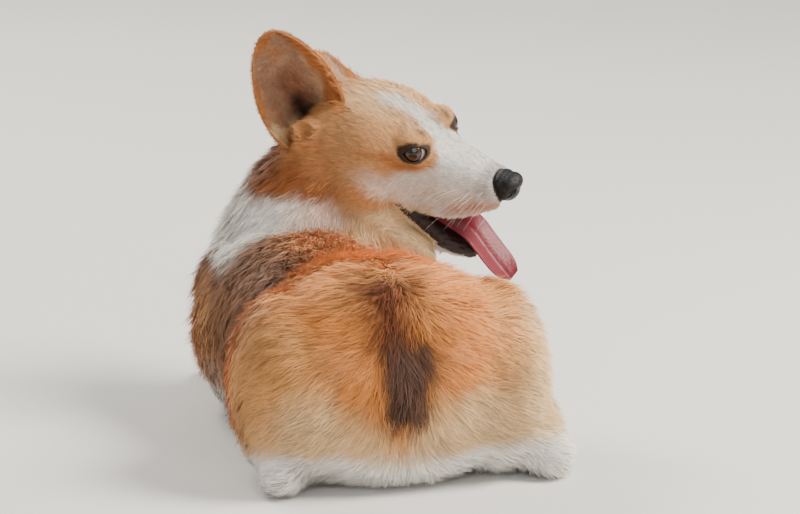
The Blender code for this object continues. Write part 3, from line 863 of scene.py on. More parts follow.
def body_colours(points):
    """The saddle, rump and flanks, with the collar, chest and feet in white."""
    x, y, z = points.T
    wobble = 6 * ripple(points, 40, 31) + 3.5 * ripple(points, 14, 32)
    side = np.abs(x - 6)
    lobe = rise(side + wobble, 24, 74) * rise(y, 60, 110) * (1 - 0.6 * rise(z, 125, 160))
    beside = hump(side, 34, 20) * hump(z + 0.5 * wobble, 112, 16) * rise(y, 110, 150)
    # The loin's top turns towards tan: painted light against the shade of the fold where the back
    # meets the rump
    loin_painted_light = rise(z, 118, 150) * fall(y, 70, 120)
    # The top of the rump turns to the lighter orange: painted highlight
    top = rise(z + 0.5 * wobble, 136, 166) * rise(y, 0, 60)
    flank = rise(-x + wobble, 84, 116) * rise(y, 30, 80)
    start = -52 - 22 * rise(side, 40, 75)
    rust = rise(-y + wobble, start, start + 26)
    sable = rise(-y + 1.5 * wobble, start - 6, start + 46) * rise(x + 0.9 * wobble, 16, 52)
    sable = sable * (0.35 + 0.65 * rise(z + wobble, 30, 110))
    sable = np.maximum(sable, 0.8 * rise(-y + wobble, -10, 30) * rise(-x, 50, 80))
    croup = hump(x - 0.6 * wobble, 7, 20) * rise(z, 112, 130) * rise(y, 116, 148)
    places = [-130, -100, -75, -40, -18, 5, 25, 54, 80, 97, 115]
    heights = [132, 118, 104, 102, 92, 72, 88, 105, 98, 80, 64]
    pants_top = np.interp(x, places, heights) + 0.8 * wobble
    pants = fall(z, pants_top - 36, pants_top + 8) * rise(y, 20, 70)
    # On the left side the trousers fade into the tan under them: painted shade
    pants = pants * (1 - 0.6 * rise(x, 70, 105))
    shoulder = rise(-y + 1.5 * wobble, 48, 108) * rise(x, 40, 70) * fall(z + wobble, 90, 140)
    band = rise(-x + wobble, 8, 34) * rise(-y, 56, 78) * rise(z, 118, 140)
    low_edge = 156 - 0.22 * x
    collar = rise(z + 0.6 * wobble, low_edge - 8, low_edge + 8) * rise(-y, 74, 96)
    # High on the neck, under the skull: painted shade of the fold between head and neck
    nape_shade = rise(z + 0.4 * wobble, 182, 196) * fall(x + 0.5 * wobble, 40, 58)
    front = rise(-y + wobble, 138, 158) * fall(z, 205, 225) * (1 - 0.5 * rise(x, 60, 85))
    low = fall(z + 0.7 * wobble, 48, 70) * rise(-y, -30, 20) * (1 - 0.7 * rise(x, 62, 84))
    return painted(
        ORANGE,
        (TAN, lobe),
        (RUST, 0.45 * beside),
        (TAN, 0.75 * loin_painted_light),
        (RUMP_TOP_HIGHLIGHT, 0.6 * top),
        (CREAM, 0.95 * flank),
        (RUST, rust),
        (SABLE, 0.9 * sable),
        (CROUP, 0.95 * croup),
        (PANTS, 0.9 * pants),
        (TAN, 0.8 * shoulder),
        (CREAM, band),
        (WHITE, collar),
        (NAPE_SHADE, nape_shade * fall(-y, 148, 165)),
        (WHITE, front),
        (WHITE, low),
        (WHITE, fall(z, 30, 46)),
    )


def tail_share(points):
    """1 on the tail and 0 off it."""
    x, y, z = points.T
    near = rise(y, 158, 176) * fall(np.abs(x - 1), 10, 22) * rise(z, 62, 76)
    return near * fall(z, 124, 140)


def head_colours(points):
    """The face, with its white blaze and cheeks, dark brows and black rims round the eyes."""
    left, forward, up = head_local(points)
    wobble = 2.4 * ripple(points, 16, 41) + 1.2 * ripple(points, 6, 42)
    side = np.abs(left)
    temple = rise(-forward + wobble, 40, 84) * (0.6 - 0.35 * rise(up, -10, 20))
    # Behind the cheeks and low at the back of the head: painted shade of the fold between head and
    # neck
    behind = rise(-forward + wobble, 60, 86) * fall(up + wobble, -28, -6)
    top = -13 - 0.10 * (forward + 38) * (forward < -10) + wobble
    low = np.interp(forward, [-50, -30, -12, 0], [-18, -28, -38, -60])
    white = rise(up, low - 9, low + 6) * fall(up, top - 8, top + 5) * rise(forward, -56, 4)
    jaw = fall(up, -50, -38) * rise(forward + wobble, -52, -20)
    eye = eye_near(points)
    under = hump(eye, 1.9, 0.5) * fall(up, -4, 4) * fall(forward, 6, 22)
    outer = hump(up, -1, 3.0) * rise(-forward, 8, 16) * fall(-forward, 30, 52) * (side > 26)
    blaze_width = np.interp(forward, [-66, -40, -8, 10, 22, 32], [0, 4, 8, 13, 26, 60])
    soft = np.interp(forward, [-20, 10], [10.0, 6.0])
    blaze = fall(side + 1.4 * wobble, blaze_width - 0.5 * soft, blaze_width + soft)
    blaze = blaze * rise(forward, -66, -36)
    crown = rise(up, 12, 26) * fall(side, 16, 40) * fall(-forward, 60, 84) * (1 - blaze)
    pink = hump(up, along_lip(UPPER_LIP, forward)[1] + 5, 7) * rise(forward, 14, 36)
    grey = rise(forward, 50, 62) * fall(forward, 70, 76) * rise(up, -34, -22)
    brow = hump(side, 20, 3.2) * hump(forward, 4, 4) * rise(up, 8, 12)
    return painted(
        FACE_TAN,
        (FACE_ORANGE, temple),
        (NAPE_SHADE, behind),
        (WHITE, 0.9 * white),
        (CREAM, 0.7 * jaw),
        (FACE_ORANGE, 0.8 * under),
        (FACE_ORANGE, 0.6 * outer),
        (WHITE, blaze),
        (CREAM, 0.55 * crown),
        (LIP_PINK, 0.75 * pink),
        (BROW_DARK, 0.45 * grey),
        (BROW_DARK, 0.8 * brow),
        (LIP_BLACK, 0.95 * fall(eye + 0.05 * wobble, 1.03, 1.26)),
    )


def ear_colours(points):
    """Orange outside and at the rim, greyish brown in the cup, browner towards its middle partly as
    painted shade, and dark in the hollow near the root as painted shade.
    """
    share, deep, place = on_ears(points)
    wobble = 0.10 * ripple(points, 12, 51)
    inner = deep > 0
    reach = np.abs(place) + wobble
    middle = fall(np.abs(place - 0.05 - 0.5 * wobble), 0.10, 0.46)
    colour = painted(
        EAR_ORANGE,
        (EAR_GREY, fall(reach, 0.60, 1.02) * fall(share + wobble, 0.76, 1.0) * inner),
        # Browner towards the middle of the cup: partly painted shade
        (EAR_BROWN_AND_SHADE, fall(reach, 0.15, 0.55) * fall(share + wobble, 0.45, 0.80) * inner),
        (CREAM, 0.35 * rise(place, 0.35, 0.6) * inner * fall(share, 0.55, 0.8)),
        (FACE_ORANGE, rise(place + wobble, 0.5, 0.8) * inner),
        (CREAM, 0.7 * fall(share + 0.5 * wobble, 0.05, 0.12) * inner),
        # Dark in the hollow near the ear's root: painted shade
        (EAR_HOLLOW_SHADE, middle * fall(share + wobble, 0.15, 0.36) * (deep > -1)),
    )
    return colour, share


def markings(points):
    """The coat's colour at each point."""
    head = (head_colours(points), in_the_head(points))
    colour = painted(body_colours(points), head, (TAIL_BROWN, tail_share(points)))
    ears, share = ear_colours(points)
    return np.where((share > 0)[:, None], ears, colour)


# The skin


def build_skin(pose):
    """The whole dog as one fine skin, under the coat."""
    body = trunk() + neck()
    for side, out in ((1, LEFT_LEG_OUT), (-1, RIGHT_LEG_OUT)):
        body += haunch(side, out) + hind_foot(side, out) + foreleg(side)
    coarse = fuse(body, "body_core", BODY_VOXEL, 20)
    toes = []
    for middle, wrist in paws():
        toes += paw_form(middle, wrist)
    fine = fuse(skull(pose) + toes, "head_core", HEAD_VOXEL, 8)
    skin = fuse([coarse, fine] + tail(), "skin", SKIN_VOXEL, 4)
    points = points_of(skin.data)
    normals = normals_of(skin.data)
    points = points - normals * coat_depth(points)[:, None]
    points[:, 2] = np.maximum(points[:, 2], FLOOR_CLEAR)
    place_points(skin.data, points)
    for side in (1, -1):
        skin = combine(skin, eye_opening(side, pose), "DIFFERENCE")
        skin = combine(skin, eye_socket(side, pose), "DIFFERENCE")
    for name, (side, root, tip, facing, wide) in EARS.items():
        concha = ball("concha", in_head(side * 50, -88, 13), (10, 12, 16), (0, 0, side * 30))
        concha.data.transform(pose)
        skin = combine(skin, concha, "DIFFERENCE")
        skin = combine(skin, ear_form(name, pose, root, tip, facing, wide), "UNION")
    return skin


def unwrap(skin):
    """A map of the skin, where each hair's patch has its root's place."""
    form = bmesh.new()
    form.from_mesh(skin.data)
    bmesh.ops.triangulate(form, faces=form.faces)
    form.to_mesh(skin.data)
    form.free()
    layer = skin.data.uv_layers.new(name="OFBake")
    skin.data.uv_layers.active = layer
    bpy.ops.object.select_all(action="DESELECT")
    bpy.context.view_layer.objects.active = skin
    skin.select_set(True)
    bpy.ops.object.mode_set(mode="EDIT")
    bpy.ops.mesh.select_all(action="SELECT")
    bpy.ops.uv.smart_project(angle_limit=math.radians(66), island_margin=0.002)
    bpy.ops.object.mode_set(mode="OBJECT")


def colour_attribute(mesh, colours):
    """The coat's colours, kept at the mesh's points."""
    layer = mesh.color_attributes.new(name="coat", type="FLOAT_COLOR", domain="POINT")
    rows = np.ones((len(mesh.vertices), 4), np.float32)
    rows[:, :3] = colours
    layer.data.foreach_set("color", rows.ravel())


# Hair


class Coat:
    """Everything that growing hair needs to know of the skin."""

    def __init__(self, skin):
        """Reads the skin's triangles, normals and map once."""
        mesh = skin.data
        mesh.calc_loop_triangles()
        count = len(mesh.loop_triangles)
        corners = np.empty(count * 3, np.int32)
        loops = np.empty(count * 3, np.int32)
        mesh.loop_triangles.foreach_get("vertices", corners)
        mesh.loop_triangles.foreach_get("loops", loops)
        flat = np.empty(len(mesh.loops) * 2, np.float32)
        mesh.uv_layers["OFBake"].data.foreach_get("uv", flat)
        self.points = points_of(mesh)
        self.normals = normals_of(mesh)
        self.corners = corners.reshape(-1, 3)
        self.maps = flat.reshape(-1, 2)[loops.reshape(-1, 3)]
        a, b, c = (self.points[self.corners[:, k]] for k in range(3))
        self.areas = 0.5 * np.linalg.norm(np.cross(b - a, c - a), axis=1)
        self.middles = (a + b + c) / 3
        self.surface = BVHTree.FromObject(skin, bpy.context.evaluated_depsgraph_get())

    def roots(self, weight, count, draw):
        """Random places on the skin, as points, normals and places on the map."""
        odds = self.areas * weight
        picks = draw.choice(len(odds), size=count, p=odds / odds.sum())
        u, v = draw.random(count), draw.random(count)
        over = u + v > 1
        u[over], v[over] = 1 - u[over], 1 - v[over]
        shares = np.stack([1 - u - v, u, v], 1)[:, :, None]
        points = np.sum(self.points[self.corners[picks]] * shares, axis=1)
        normals = unit(np.sum(self.normals[self.corners[picks]] * shares, axis=1))
        return points, normals, np.sum(self.maps[picks] * shares, axis=1)

    def under(self, points):
        """The skin's place and normal nearest to each point."""
        places = np.empty_like(points)
        normals = np.empty_like(points)
        for i, point in enumerate(points * MM):
            place, normal, _face, _far = self.surface.find_nearest(point)
            places[i] = place
            normals[i] = normal
        return places / MM, normals


def hair_paths(coat, roots, normals, lengths, angles, steps):
    """Paths that leave the skin and bend over along the lie of the coat."""
    place, normal = roots.copy(), normals.copy()
    paths = [place.copy()]
    for k in range(steps):
        lie = coat_lie(place, normal)
        lean = (angles * (1 - 0.75 * k / steps))[:, None]
        place = place + (lie * np.cos(lean) + normal * np.sin(lean)) * (lengths / steps)[:, None]
        paths.append(place.copy())
        if k < steps - 1:
            normal = coat.under(place)[1]
    return np.stack(paths, 1)


def nearest_guides(guides, guide_normals, roots, normals):
    """For each root, the guide that grows next to it on the same side of the skin."""
    shift = 7.0
    tree = KDTree(len(guides))
    for i, place in enumerate(guides + guide_normals * shift):
        tree.insert(place, i)
    tree.balance()
    return np.array([tree.find(place)[1] for place in roots + normals * shift])


def blades(name, paths, sides, widths, colours, maps, tapers, shading=None):
    """One mesh of flat tapered hairs. paths holds each hair's points, root first."""
    count, rows = paths.shape[0], paths.shape[1]
    verts = []
    for k in range(rows - 1):
        across = sides * (widths * tapers[k] / 2)[:, None]
        verts += [paths[:, k] - across, paths[:, k] + across]
    verts.append(paths[:, -1])
    points = np.stack(verts, 1)
    a_hair = points.shape[1]
    faces = []
    for k in range(rows - 2):
        faces += [(2 * k, 2 * k + 1, 2 * k + 3), (2 * k, 2 * k + 3, 2 * k + 2)]
    faces.append((2 * rows - 4, 2 * rows - 3, 2 * rows - 2))
    faces = np.array(faces)
    corners = (faces[None] + (np.arange(count) * a_hair)[:, None, None]).reshape(-1)
    mesh = bpy.data.meshes.new(name)
    points[:, :, 2] = np.maximum(points[:, :, 2], FLOOR_CLEAR)
    mesh.vertices.add(count * a_hair)
    mesh.vertices.foreach_set("co", (points * MM).astype(np.float32).ravel())
    mesh.loops.add(len(corners))
    mesh.loops.foreach_set("vertex_index", corners.astype(np.int32))
    mesh.polygons.add(len(corners) // 3)
    mesh.polygons.foreach_set("loop_start", np.arange(0, len(corners), 3, dtype=np.int32))
    mesh.update(calc_edges=True)
    mesh.polygons.foreach_set("use_smooth", np.ones(len(corners) // 3, bool))
    spots = []
    for k in range(rows - 1):
        high = k / (rows - 1) - 0.5
        spots += [(-0.5, high), (0.5, high)]
    spots.append((0.0, 0.5))
    spread = maps[:, None] + np.array(spots)[None] * PATCH
    layer = mesh.uv_layers.new(name="OFBake")
    layer.data.foreach_set("uv", spread.reshape(-1, 2)[corners].astype(np.float32).ravel())
    shades = np.stack([colours[:, min(k // 2, rows - 1)] for k in range(a_hair)], 1)
    colour_attribute(mesh, shades.reshape(-1, 3))
    if shading is not None:
        mesh.normals_split_custom_set_from_vertices(np.repeat(shading, a_hair, axis=0))
    return link(mesh, name)


def grow(coat, name, weight, draw, steps, width, clumping, count):
    """Hair over the part of the skin that has weight, in clumps."""
    guides, guide_normals, _maps = coat.roots(weight, max(40, count // HAIRS_A_CLUMP), draw)
    length = coat_length(guides) * draw.uniform(0.82, 1.15, len(guides))
    angle = np.radians(LEAN + LEAN_SPREAD * draw.normal(size=len(guides)))
    guide_paths = hair_paths(coat, guides, guide_normals, length, angle, steps)
    roots, normals, maps = coat.roots(weight, count, draw)
    near = nearest_guides(guides, guide_normals, roots, normals)
    scale = draw.uniform(0.65, 1.12, count)[:, None, None]
    shape = guide_paths[near] - guide_paths[near][:, :1]
    own = roots[:, None] + shape * scale
    t = np.linspace(0, 1, steps + 1)
    towards = (t**1.3)[None, :, None] * clumping
    towards = towards * draw.uniform(0.3, 1.1, count)[:, None, None]
    paths = own * (1 - towards) + guide_paths[near] * towards
    reach = np.linalg.norm(shape[:, -1], axis=1)
    stray = draw.normal(size=(count, 3)) * (STRAY * reach)[:, None]
    paths = paths + stray[:, None] * (t**2)[None, :, None]
    heading = unit(paths[:, -1] - paths[:, 0])
    side = unit(np.cross(heading, normals))
    bend = draw.normal(size=count) * BEND * reach
    paths = paths + side[:, None] * (bend[:, None] * (4 * t * (1 - t))[None])[:, :, None]
    face = np.cross(side, heading)
    roll = draw.normal(size=count)[:, None] * ROLL
    side = unit(side * np.cos(roll) + face * np.sin(roll))
    shading = unit(normals * SKIN_SHADING + np.cross(side, heading) * (1 - SKIN_SHADING))
    base = markings(roots) * (1 + 0.07 * ripple(roots, 20, 61))[:, None]
    streak = (0.05 + 0.10 * (1 - base.mean(1)) ** 4) * draw.normal(size=len(guides))[near]
    shade = draw.normal(1.0, 0.09, count) * (1 + streak)
    # Each hair runs from darker at the root to a little lighter at the tip: painted shade deep in
    # the coat, and a touch of painted light at the tips
    along = np.linspace(0.80, 1.06, steps + 1)
    colours = base[:, None] * (shade[:, None] * along[None])[:, :, None]
    widths = width * draw.uniform(0.75, 1.25, count)
    tapers = np.linspace(1.0, 0.5, steps)
    return blades(name, paths, side, widths, np.clip(colours, 0, 1), maps, tapers, shading)


def nose_reach(points):
    """How far a point is from the nose leather's middle, in sizes of the bare patch."""
    left, forward, up = head_local(points)
    wide = np.hypot(left / 16.0, (up + 24 + 0.3 * (74 - forward)) / 16.5)
    return np.hypot(wide, (forward - 72) / 15.0)


def hairless(points):
    """1 where no hair grows: inside the mouth, on the lids' rims, and under the nose leather."""
    bare = np.maximum(mouth_inside(points), fall(nose_reach(points), 0.98, 1.05))
    return np.maximum(bare, fall(eye_near(points), 1.0, 1.08))


def grow_coat(coat):
    """The whole coat, in pieces by region."""
    x, y, z = coat.middles.T
    ears = on_ears(coat.middles)[0] > 0
    head = in_the_head(coat.middles) > 0.5
    left = head_local(coat.middles)[0]
    hairy = ~ears & (hairless(coat.middles) <= 0.5)
    face = hairy & head
    body = hairy & ~head & (z >= 1.0)
    ahead, behind = y < -70, y >= 60
    regions = {
        "coat_ears": ears,
        "coat_face_right": face & (left < 0),
        "coat_face_left": face & (left >= 0),
        "coat_neck": body & ahead & (z > 110),
        "coat_front": body & ahead & (z <= 110),
        "coat_back": body & ~ahead & ~behind,
        "coat_rump_left": body & behind & (x >= 6),
        "coat_rump_right": body & behind & (x < 6),
    }
    pieces = []
    for i, (name, settings) in enumerate(COAT_PIECES.items()):
        draw = np.random.default_rng(COAT_SEED + i)
        pieces.append(grow(coat, name, regions[name] * 1.0, draw, *settings))
    return pieces


# Finishes


def material(name, roughness, sheen=0.0, coat=0.0, specular=0.5):
    """A material whose single values sit on the shader itself."""
    made = bpy.data.materials.new(name)
    made.use_nodes = True
    shader = made.node_tree.nodes["Principled BSDF"]
    shader.inputs["Roughness"].default_value = roughness
    shader.inputs["Sheen Weight"].default_value = sheen
    shader.inputs["Coat Weight"].default_value = coat
    shader.inputs["Specular IOR Level"].default_value = specular
    return made, made.node_tree, shader


def node(tree, kind, inputs=None, **settings):
    """A shader node with its own settings, and inputs that hold values or take outputs."""
    made = tree.nodes.new("ShaderNode" + kind)
    for name, value in settings.items():
        setattr(made, name, value)
    for name, value in (inputs or {}).items():
        if isinstance(value, bpy.types.NodeSocket):
            tree.links.new(value, made.inputs[name])
        else:
            made.inputs[name].default_value = value
    return made


def here(tree):
    """The point's place in the piece's own frame."""
    return node(tree, "TexCoord").outputs["Object"]


def noise(tree, scale):
    """Noise between 0 and 1."""
    inputs = {"Scale": scale, "Detail": 3.0, "Vector": here(tree)}
    return node(tree, "TexNoise", inputs).outputs["Fac"]


def bump(tree, shader, height, strength, distance):
    """Lets a height shade the shader's normal."""
    inputs = {"Strength": strength, "Distance": distance, "Height": height}
    tree.links.new(node(tree, "Bump", inputs).outputs["Normal"], shader.inputs["Normal"])


def varied(tree, shader, colour, factor, low, high):
    """Gives the shader the colour, darker and lighter by a factor that runs from 0 to 1."""
    spread = node(tree, "MapRange", {"To Min": low, "To Max": high, "Value": factor})
    inputs = {0: colour, "Scale": spread.outputs["Result"]}
    shade = node(tree, "VectorMath", inputs, operation="SCALE")
    tree.links.new(shade.outputs["Vector"], shader.inputs["Base Color"])


def coat_material(name, roughness, sheen, specular, grain, low, high, depth=0.0):
    """A finish in the colours kept in the mesh, with a fine bump where there's a depth."""
    made, tree, shader = material(name, roughness, sheen=sheen, specular=specular)
    colour = node(tree, "VertexColor", layer_name="coat").outputs["Color"]
    factor = noise(tree, grain)
    varied(tree, shader, colour, factor, low, high)
    if depth:
        bump(tree, shader, factor, 0.5, depth)
    return made


def eye_material(name, to_nose):
    """Pupil, dark brown iris and limbus round the gaze, and white only on the nose's side."""
    made, tree, shader = material(name, 0.05)
    place = here(tree)
    split = node(tree, "SeparateXYZ", {"Vector": place}).outputs
    flat = node(tree, "CombineXYZ", {"X": split["X"], "Y": split["Y"]}).outputs["Vector"]
    across = node(tree, "VectorMath", {0: flat}, operation="LENGTH").outputs["Value"]
    inputs = {0: across, 1: EYE_RADIUS * MM}
    share = node(tree, "Math", inputs, operation="DIVIDE").outputs["Value"]
    ramp = node(tree, "ValToRGB", {"Fac": share})
    while len(ramp.color_ramp.elements) < len(IRIS):
        ramp.color_ramp.elements.new(0.5)
    for element, (position, colour) in zip(ramp.color_ramp.elements, IRIS):
        element.position = position
        element.color = (*colour, 1.0)
    inputs = {0: place, 1: to_nose}
    aside = node(tree, "VectorMath", inputs, operation="DOT_PRODUCT").outputs["Value"]
    start, end = 0.30 * EYE_RADIUS * MM, 0.55 * EYE_RADIUS * MM
    inputs = {"From Min": start, "From Max": end, "To Min": 0.05, "Value": aside}
    reach = node(tree, "MapRange", inputs).outputs["Result"]
    rim = node(tree, "Math", {0: share, 1: 0.66}, operation="LESS_THAN").outputs["Value"]
    keep = node(tree, "Math", {0: rim, 1: reach}, operation="MAXIMUM").outputs["Value"]
    inputs = {0: ramp.outputs["Color"], "Scale": keep}
    shown = node(tree, "VectorMath", inputs, operation="SCALE").outputs["Vector"]
    varied(tree, shader, shown, noise(tree, 900.0), 0.7, 1.3)
    return made


def plain_material(name, colour, roughness, grain, depth, low=0.8, high=1.2, **more):
    """A finish in one colour that varies a little, with a fine bump."""
    made, tree, shader = material(name, roughness, **more)
    factor = noise(tree, grain)
    varied(tree, shader, tuple(colour), factor, low, high)
    bump(tree, shader, factor, 0.6, depth)
    return made


def leather_material():
    """The nose's black leather, with fine cells."""
    made, tree, shader = material("nose_leather", 0.40, specular=0.3)
    shader.inputs["Base Color"].default_value = (0.004, 0.004, 0.005, 1.0)
    cells = node(tree, "TexVoronoi", {"Scale": 900.0, "Vector": here(tree)})
    bump(tree, shader, cells.outputs["Distance"], 0.8, 0.0005)
    return made


def dress(piece, finish):
    """Gives a piece its finish, and tells the frame where it rides."""
    piece.data.materials.clear()
    piece.data.materials.append(finish)
    piece.data.polygons.foreach_set("use_smooth", np.ones(len(piece.data.polygons), bool))
    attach(piece, "root")


# Eyes, mouth, claws and whiskers


def eye_piece(side, name, gaze):
    """An eyeball with its own frame, so that its iris faces the gaze."""
    eye = ball(name, (0, 0, 0), (EYE_RADIUS,) * 3, (0, 0, 0), 64, 40)
    points = points_of(eye.data)
    swell = 1 + 0.05 * rise(points[:, 2] / EYE_RADIUS, 0.70, 0.86)
    place_points(eye.data, points * swell[:, None])
    pose = head_frame()
    middle = pose @ (Vector(eye_middle(side)) * MM)
    way = (pose.to_3x3() @ Vector(in_head(*gaze))).normalized()
    eye.matrix_world = Matrix.Translation(middle) @ way.to_track_quat("Z", "Y").to_matrix().to_4x4()
    return eye


def almond(turn, side):
    """The lids' edge at an angle round the eye: how far along and how high, in radians."""
    along = 1.12 * math.cos(turn) - side * 0.16 * max(0.0, -side * math.cos(turn)) ** 3
    open_to = 0.66 if math.sin(turn) > 0 else 0.56
    high = open_to * abs(math.sin(turn)) ** 1.25 * math.copysign(1, math.sin(turn))
    return along, high


def lid_piece(side, name, pose):
    """Both lids as one ring over the eyeball, with a thick edge round the almond."""
    facing = Vector(in_head(side * 0.78, 0.60, 0.14)).normalized()
    up = Vector((0, 0, 1))
    up = (up - facing * up.dot(facing)).normalized()
    across = up.cross(facing)
    middle = Vector(eye_middle(side))
    rings = []
    for k in range(LID_RINGS):
        turn = 2 * math.pi * k / LID_RINGS
        along, high = almond(turn, side)
        ring = []
        for out, lift in LID_EDGE:
            a = along + out * math.cos(turn) * 1.15
            b = high + out * math.sin(turn) * 1.25
            angle = math.hypot(a, b)
            way = facing * math.cos(angle)
            if angle > 1e-6:
                way = way + (across * (a / angle) + up * (b / angle)) * math.sin(angle)
            ring.append(middle + way * (EYE_RADIUS + 0.35 + lift))
        rings.append(ring)
    lids = loft(name, rings, hoop=True)
    lids.data.transform(pose)
    return lids


def lip_piece(name, pose, line, radius, inward):
    """A black lip along both sides of a jaw, as one band."""
    forms = []
    for side in (1, -1):
        stations = []
        for left, forward, up in line:
            stations.append((in_head(side * (left - inward), forward - 1, up), radius))
        forms += limb(name, stations, 24)
    whole = fuse(forms, name, 0.9, 3)
    points = points_of(whole.data)
    points += normals_of(whole.data) * (0.35 * ripple(points, 1.9, 8))[:, None]
    place_points(whole.data, points)
    whole.data.transform(pose)
    return whole


def teeth(pose):
    """Cheek teeth along both sides of the upper jaw and the lower, and the long ones in front."""
    forms = []
    for line, inward, way in ((UPPER_LIP, 10.5, -1), (LOWER_LIP, 7.5, 1)):
        for side in (1, -1):
            for forward, long in ((-4, 4), (3, 5), (10, 5), (17, 4), (24, 4), (36, 9)):
                wide, up = (float(value) for value in along_lip(line, forward))
                place = (side * (wide - inward), -forward, up - way * 3.0)
                radii = (2.0, 2.8, 3.0 + 0.5 * long)
                forms.append(ball("tooth", place, radii, (0, 0, 0), 14, 10))
    whole = join(forms, "teeth")
    whole.data.transform(pose)
    return whole


def claws():
    """A curved claw on each toe."""
    forms = []
    stations = curve_through([(-4, 8.5, 2.9), (5, 7.0, 2.4), (11.5, 1.8, 0.7)], 9)
    for (x, y), _wrist in paws():
        for across, ahead in ((-15, 24), (-5.4, 32.5), (5.4, 32.5), (15, 24)):
            rings = []
            for reach, high, r in stations:
                place = (x + across, y - ahead - reach, high)
                rings.append(ring_of(place, (1, 0, 0), (0, 0, 1), r * 0.8, r, r, 2.0, 14))
            forms.append(loft("claw", rings))
    return join(forms, "claws")


def whiskers(pose):
    """Long tapered hairs on the muzzle and brows."""
    draw = np.random.default_rng(12)
    starts, ways, lengths = [], [], []
    for side in (1, -1):
        for row in range(4):
            for column in range(4):
                back = 9 * column - 2 * row
                starts.append((side * (18 + 0.04 * back), 60 - back, -26 - 5 * row))
                ways.append((side * 0.85, -0.15 - 0.12 * column, -0.10 - 0.12 * row))
                lengths.append(16 + 6 * column)
        for k in range(3):
            starts.append((side * (20 + 2 * k), 2 - 3 * k, 16))
            ways.append((side * 0.4, 0.2, 0.9))
            lengths.append(20)
    count = len(starts)
    starts = np.array(starts) + draw.normal(size=(count, 3)) * 0.8
    ways = unit(np.array(ways) + draw.normal(size=(count, 3)) * 0.12)
    lengths = np.array(lengths) * draw.uniform(0.8, 1.2, count)
    turned, moved = np.array(pose)[:3, :3], np.array(pose)[:3, 3] / MM
    steps = np.linspace(0, 1, 7)
    paths = starts[:, None] + ways[:, None] * (steps[None, :, None] * lengths[:, None, None])
    paths[:, :, 2] -= (steps**2)[None] * lengths[:, None] * 0.18
    paths = (paths * [1, -1, 1]) @ turned.T + moved
    side = unit(np.cross(paths[:, -1] - paths[:, 0], [0.2, 0.9, 0.3]))
    colours = np.tile(WHITE * 0.9, (count, 7, 1))
    maps = np.full((count, 2), 0.5)
    widths = np.full(count, 0.32)
    return blades("whiskers", paths, side, widths, colours, maps, np.linspace(1, 0.3, 6))


# Floor, light and camera


def stage():
    """A plain floor and a light sky."""
    form = bmesh.new()
    bmesh.ops.create_grid(form, x_segments=1, y_segments=1, size=6.0)
    floor = object_of(form, "floor")
    finish, _tree, shader = material("floor", 0.8, specular=0.2)
    shader.inputs["Base Color"].default_value = (0.72, 0.71, 0.69, 1.0)
    floor.data.materials.append(finish)
    floor.location.z = -0.0005
    world = bpy.data.worlds.new("studio")
    world.use_nodes = True
    sky = world.node_tree.nodes["Background"]
    sky.inputs["Color"].default_value = (0.86, 0.88, 0.92, 1.0)
    sky.inputs["Strength"].default_value = 0.56
    bpy.context.scene.world = world


def lamp(name, place, aim, size, power, colour):
    """A round soft light at a place, turned towards its aim."""
    light = bpy.data.lights.new(name, "AREA")
    light.shape = "DISK"
    light.size = size
    light.energy = power
    light.color = colour
    made = link(light, name)
    made.location = place
    way = Vector(aim) - Vector(place)
    made.rotation_mode = "QUATERNION"
    made.rotation_quaternion = way.to_track_quat("-Z", "Y")


def camera():
    """The photo's view: the middle of the dog on the floor falls on its own pixel."""
    turn = math.radians(CAMERA_ROUND)
    drop = math.radians(CAMERA_RISE)
    away = Vector((-math.sin(turn), math.cos(turn), 0))
    right = Vector((away.y, -away.x, 0))
    ahead = away * math.cos(drop) - Vector((0, 0, 1)) * math.sin(drop)
    up = away * math.sin(drop) + Vector((0, 0, 1)) * math.cos(drop)
    across = (MIDDLE_PIXEL[0] - FRAME_WIDTH / 2) * PIXEL
    high = -(MIDDLE_PIXEL[1] - FRAME_HEIGHT / 2) * PIXEL
    place = -(right * across + up * high + ahead * CAMERA_AWAY)
    lens = bpy.data.cameras.new("camera")
    lens.sensor_width = SENSOR
    lens.lens = SENSOR * CAMERA_AWAY / PIXEL / FRAME_WIDTH
    lens.clip_end = 100
    made = link(lens, "camera")
    rows = [(right[i], up[i], -ahead[i], place[i]) for i in range(3)]
    made.matrix_world = Matrix((*rows, (0, 0, 0, 1)))
    bpy.context.scene.camera = made


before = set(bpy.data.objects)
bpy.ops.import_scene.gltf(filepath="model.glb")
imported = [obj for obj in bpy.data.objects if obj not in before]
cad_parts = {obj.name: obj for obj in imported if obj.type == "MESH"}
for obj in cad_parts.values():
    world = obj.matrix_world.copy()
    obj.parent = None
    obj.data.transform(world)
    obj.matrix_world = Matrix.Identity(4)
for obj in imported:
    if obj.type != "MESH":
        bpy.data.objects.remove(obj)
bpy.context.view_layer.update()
pose = head_frame()

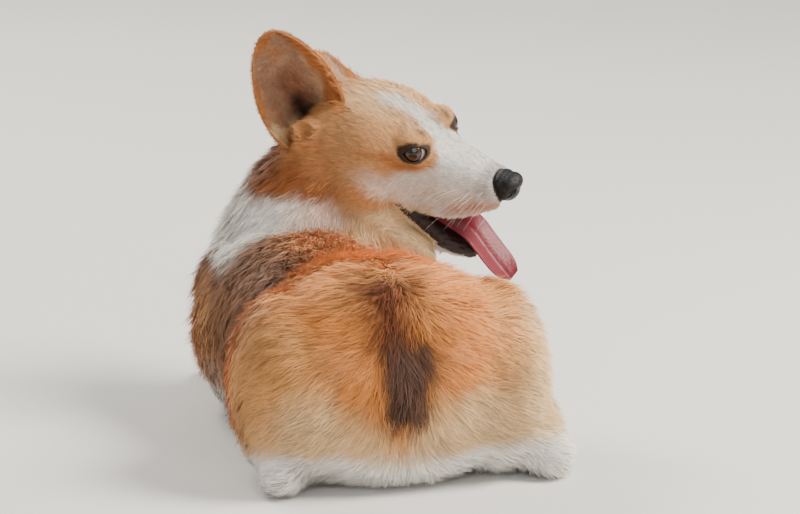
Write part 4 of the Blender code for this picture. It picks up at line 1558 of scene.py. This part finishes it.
skin = build_skin(pose)
unwrap(skin)
points = points_of(skin.data)
bare = ((MOUTH_DARK, mouth_inside(points)), (LEATHER, fall(nose_reach(points), 1.0, 1.08)))
# The skin takes the coat's markings at three quarters of their brightness: painted shade under the
# hair
colour_attribute(skin.data, painted(markings(points) * 0.75, *bare))
dress(skin, coat_material("skin", 0.75, 0.1, 0.2, 700.0, 0.75, 1.15, 0.0006))
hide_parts(*[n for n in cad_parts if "eye" not in n and n not in ("nose", "tongue")])

coat = Coat(skin)
hair = coat_material("coat", 0.62, 0.12, 0.25, 160.0, 0.80, 1.18)
for piece in grow_coat(coat):
    dress(piece, hair)

rims = plain_material("lid_rims", LIP_BLACK * 0.6, 0.42, 700.0, 0.0004, coat=0.1)
lips = plain_material("lips", LIP_SKIN, 0.58, 420.0, 0.0014, 0.4, 2.0, coat=0.03, specular=0.35)
for side, word, gaze in ((1, "left", (0.15, 0.8, 0.55)), (-1, "right", (-0.80, 0.46, 0.36))):
    eye = eye_piece(side, word + "_eyeball", gaze)
    to_nose = pose.to_3x3() @ Vector(in_head(-side * 0.61, 0.79, -0.2))
    to_nose = eye.matrix_world.to_3x3().inverted() @ to_nose
    dress(eye, eye_material(word + "_eye", to_nose))
    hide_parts(word + "_eye")
    dress(lid_piece(side, word + "_lids", pose), rims)

nose = nose_form(pose)
dress(nose, leather_material())
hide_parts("nose")
tongue = tongue_form(pose)
flesh = plain_material("tongue", TONGUE_PINK, 0.42, 420.0, 0.0007, specular=0.3)
dress(tongue, flesh)
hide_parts("tongue")
dress(lip_piece("lower_lip", pose, LOWER_LIP, 6.6, 2.4), lips)
dress(teeth(pose), plain_material("tooth", TOOTH, 0.3, 300.0, 0.0002, coat=0.2))
dress(claws(), plain_material("claw", HORN, 0.35, 300.0, 0.0002))
dress(whiskers(pose), hair)

stage()
camera()
lamp("key", (-1.9, 0.8, 2.3), (0, 0, 0.15), 1.4, 200, (1.0, 0.94, 0.84))
lamp("fill", (0.3, 3.2, 1.4), (0, 0, 0.15), 2.4, 40, (1.0, 0.98, 0.95))
lamp("rim", (0.9, -2.3, 2.1), (0, 0, 0.2), 1.2, 90, (1.0, 0.93, 0.82))
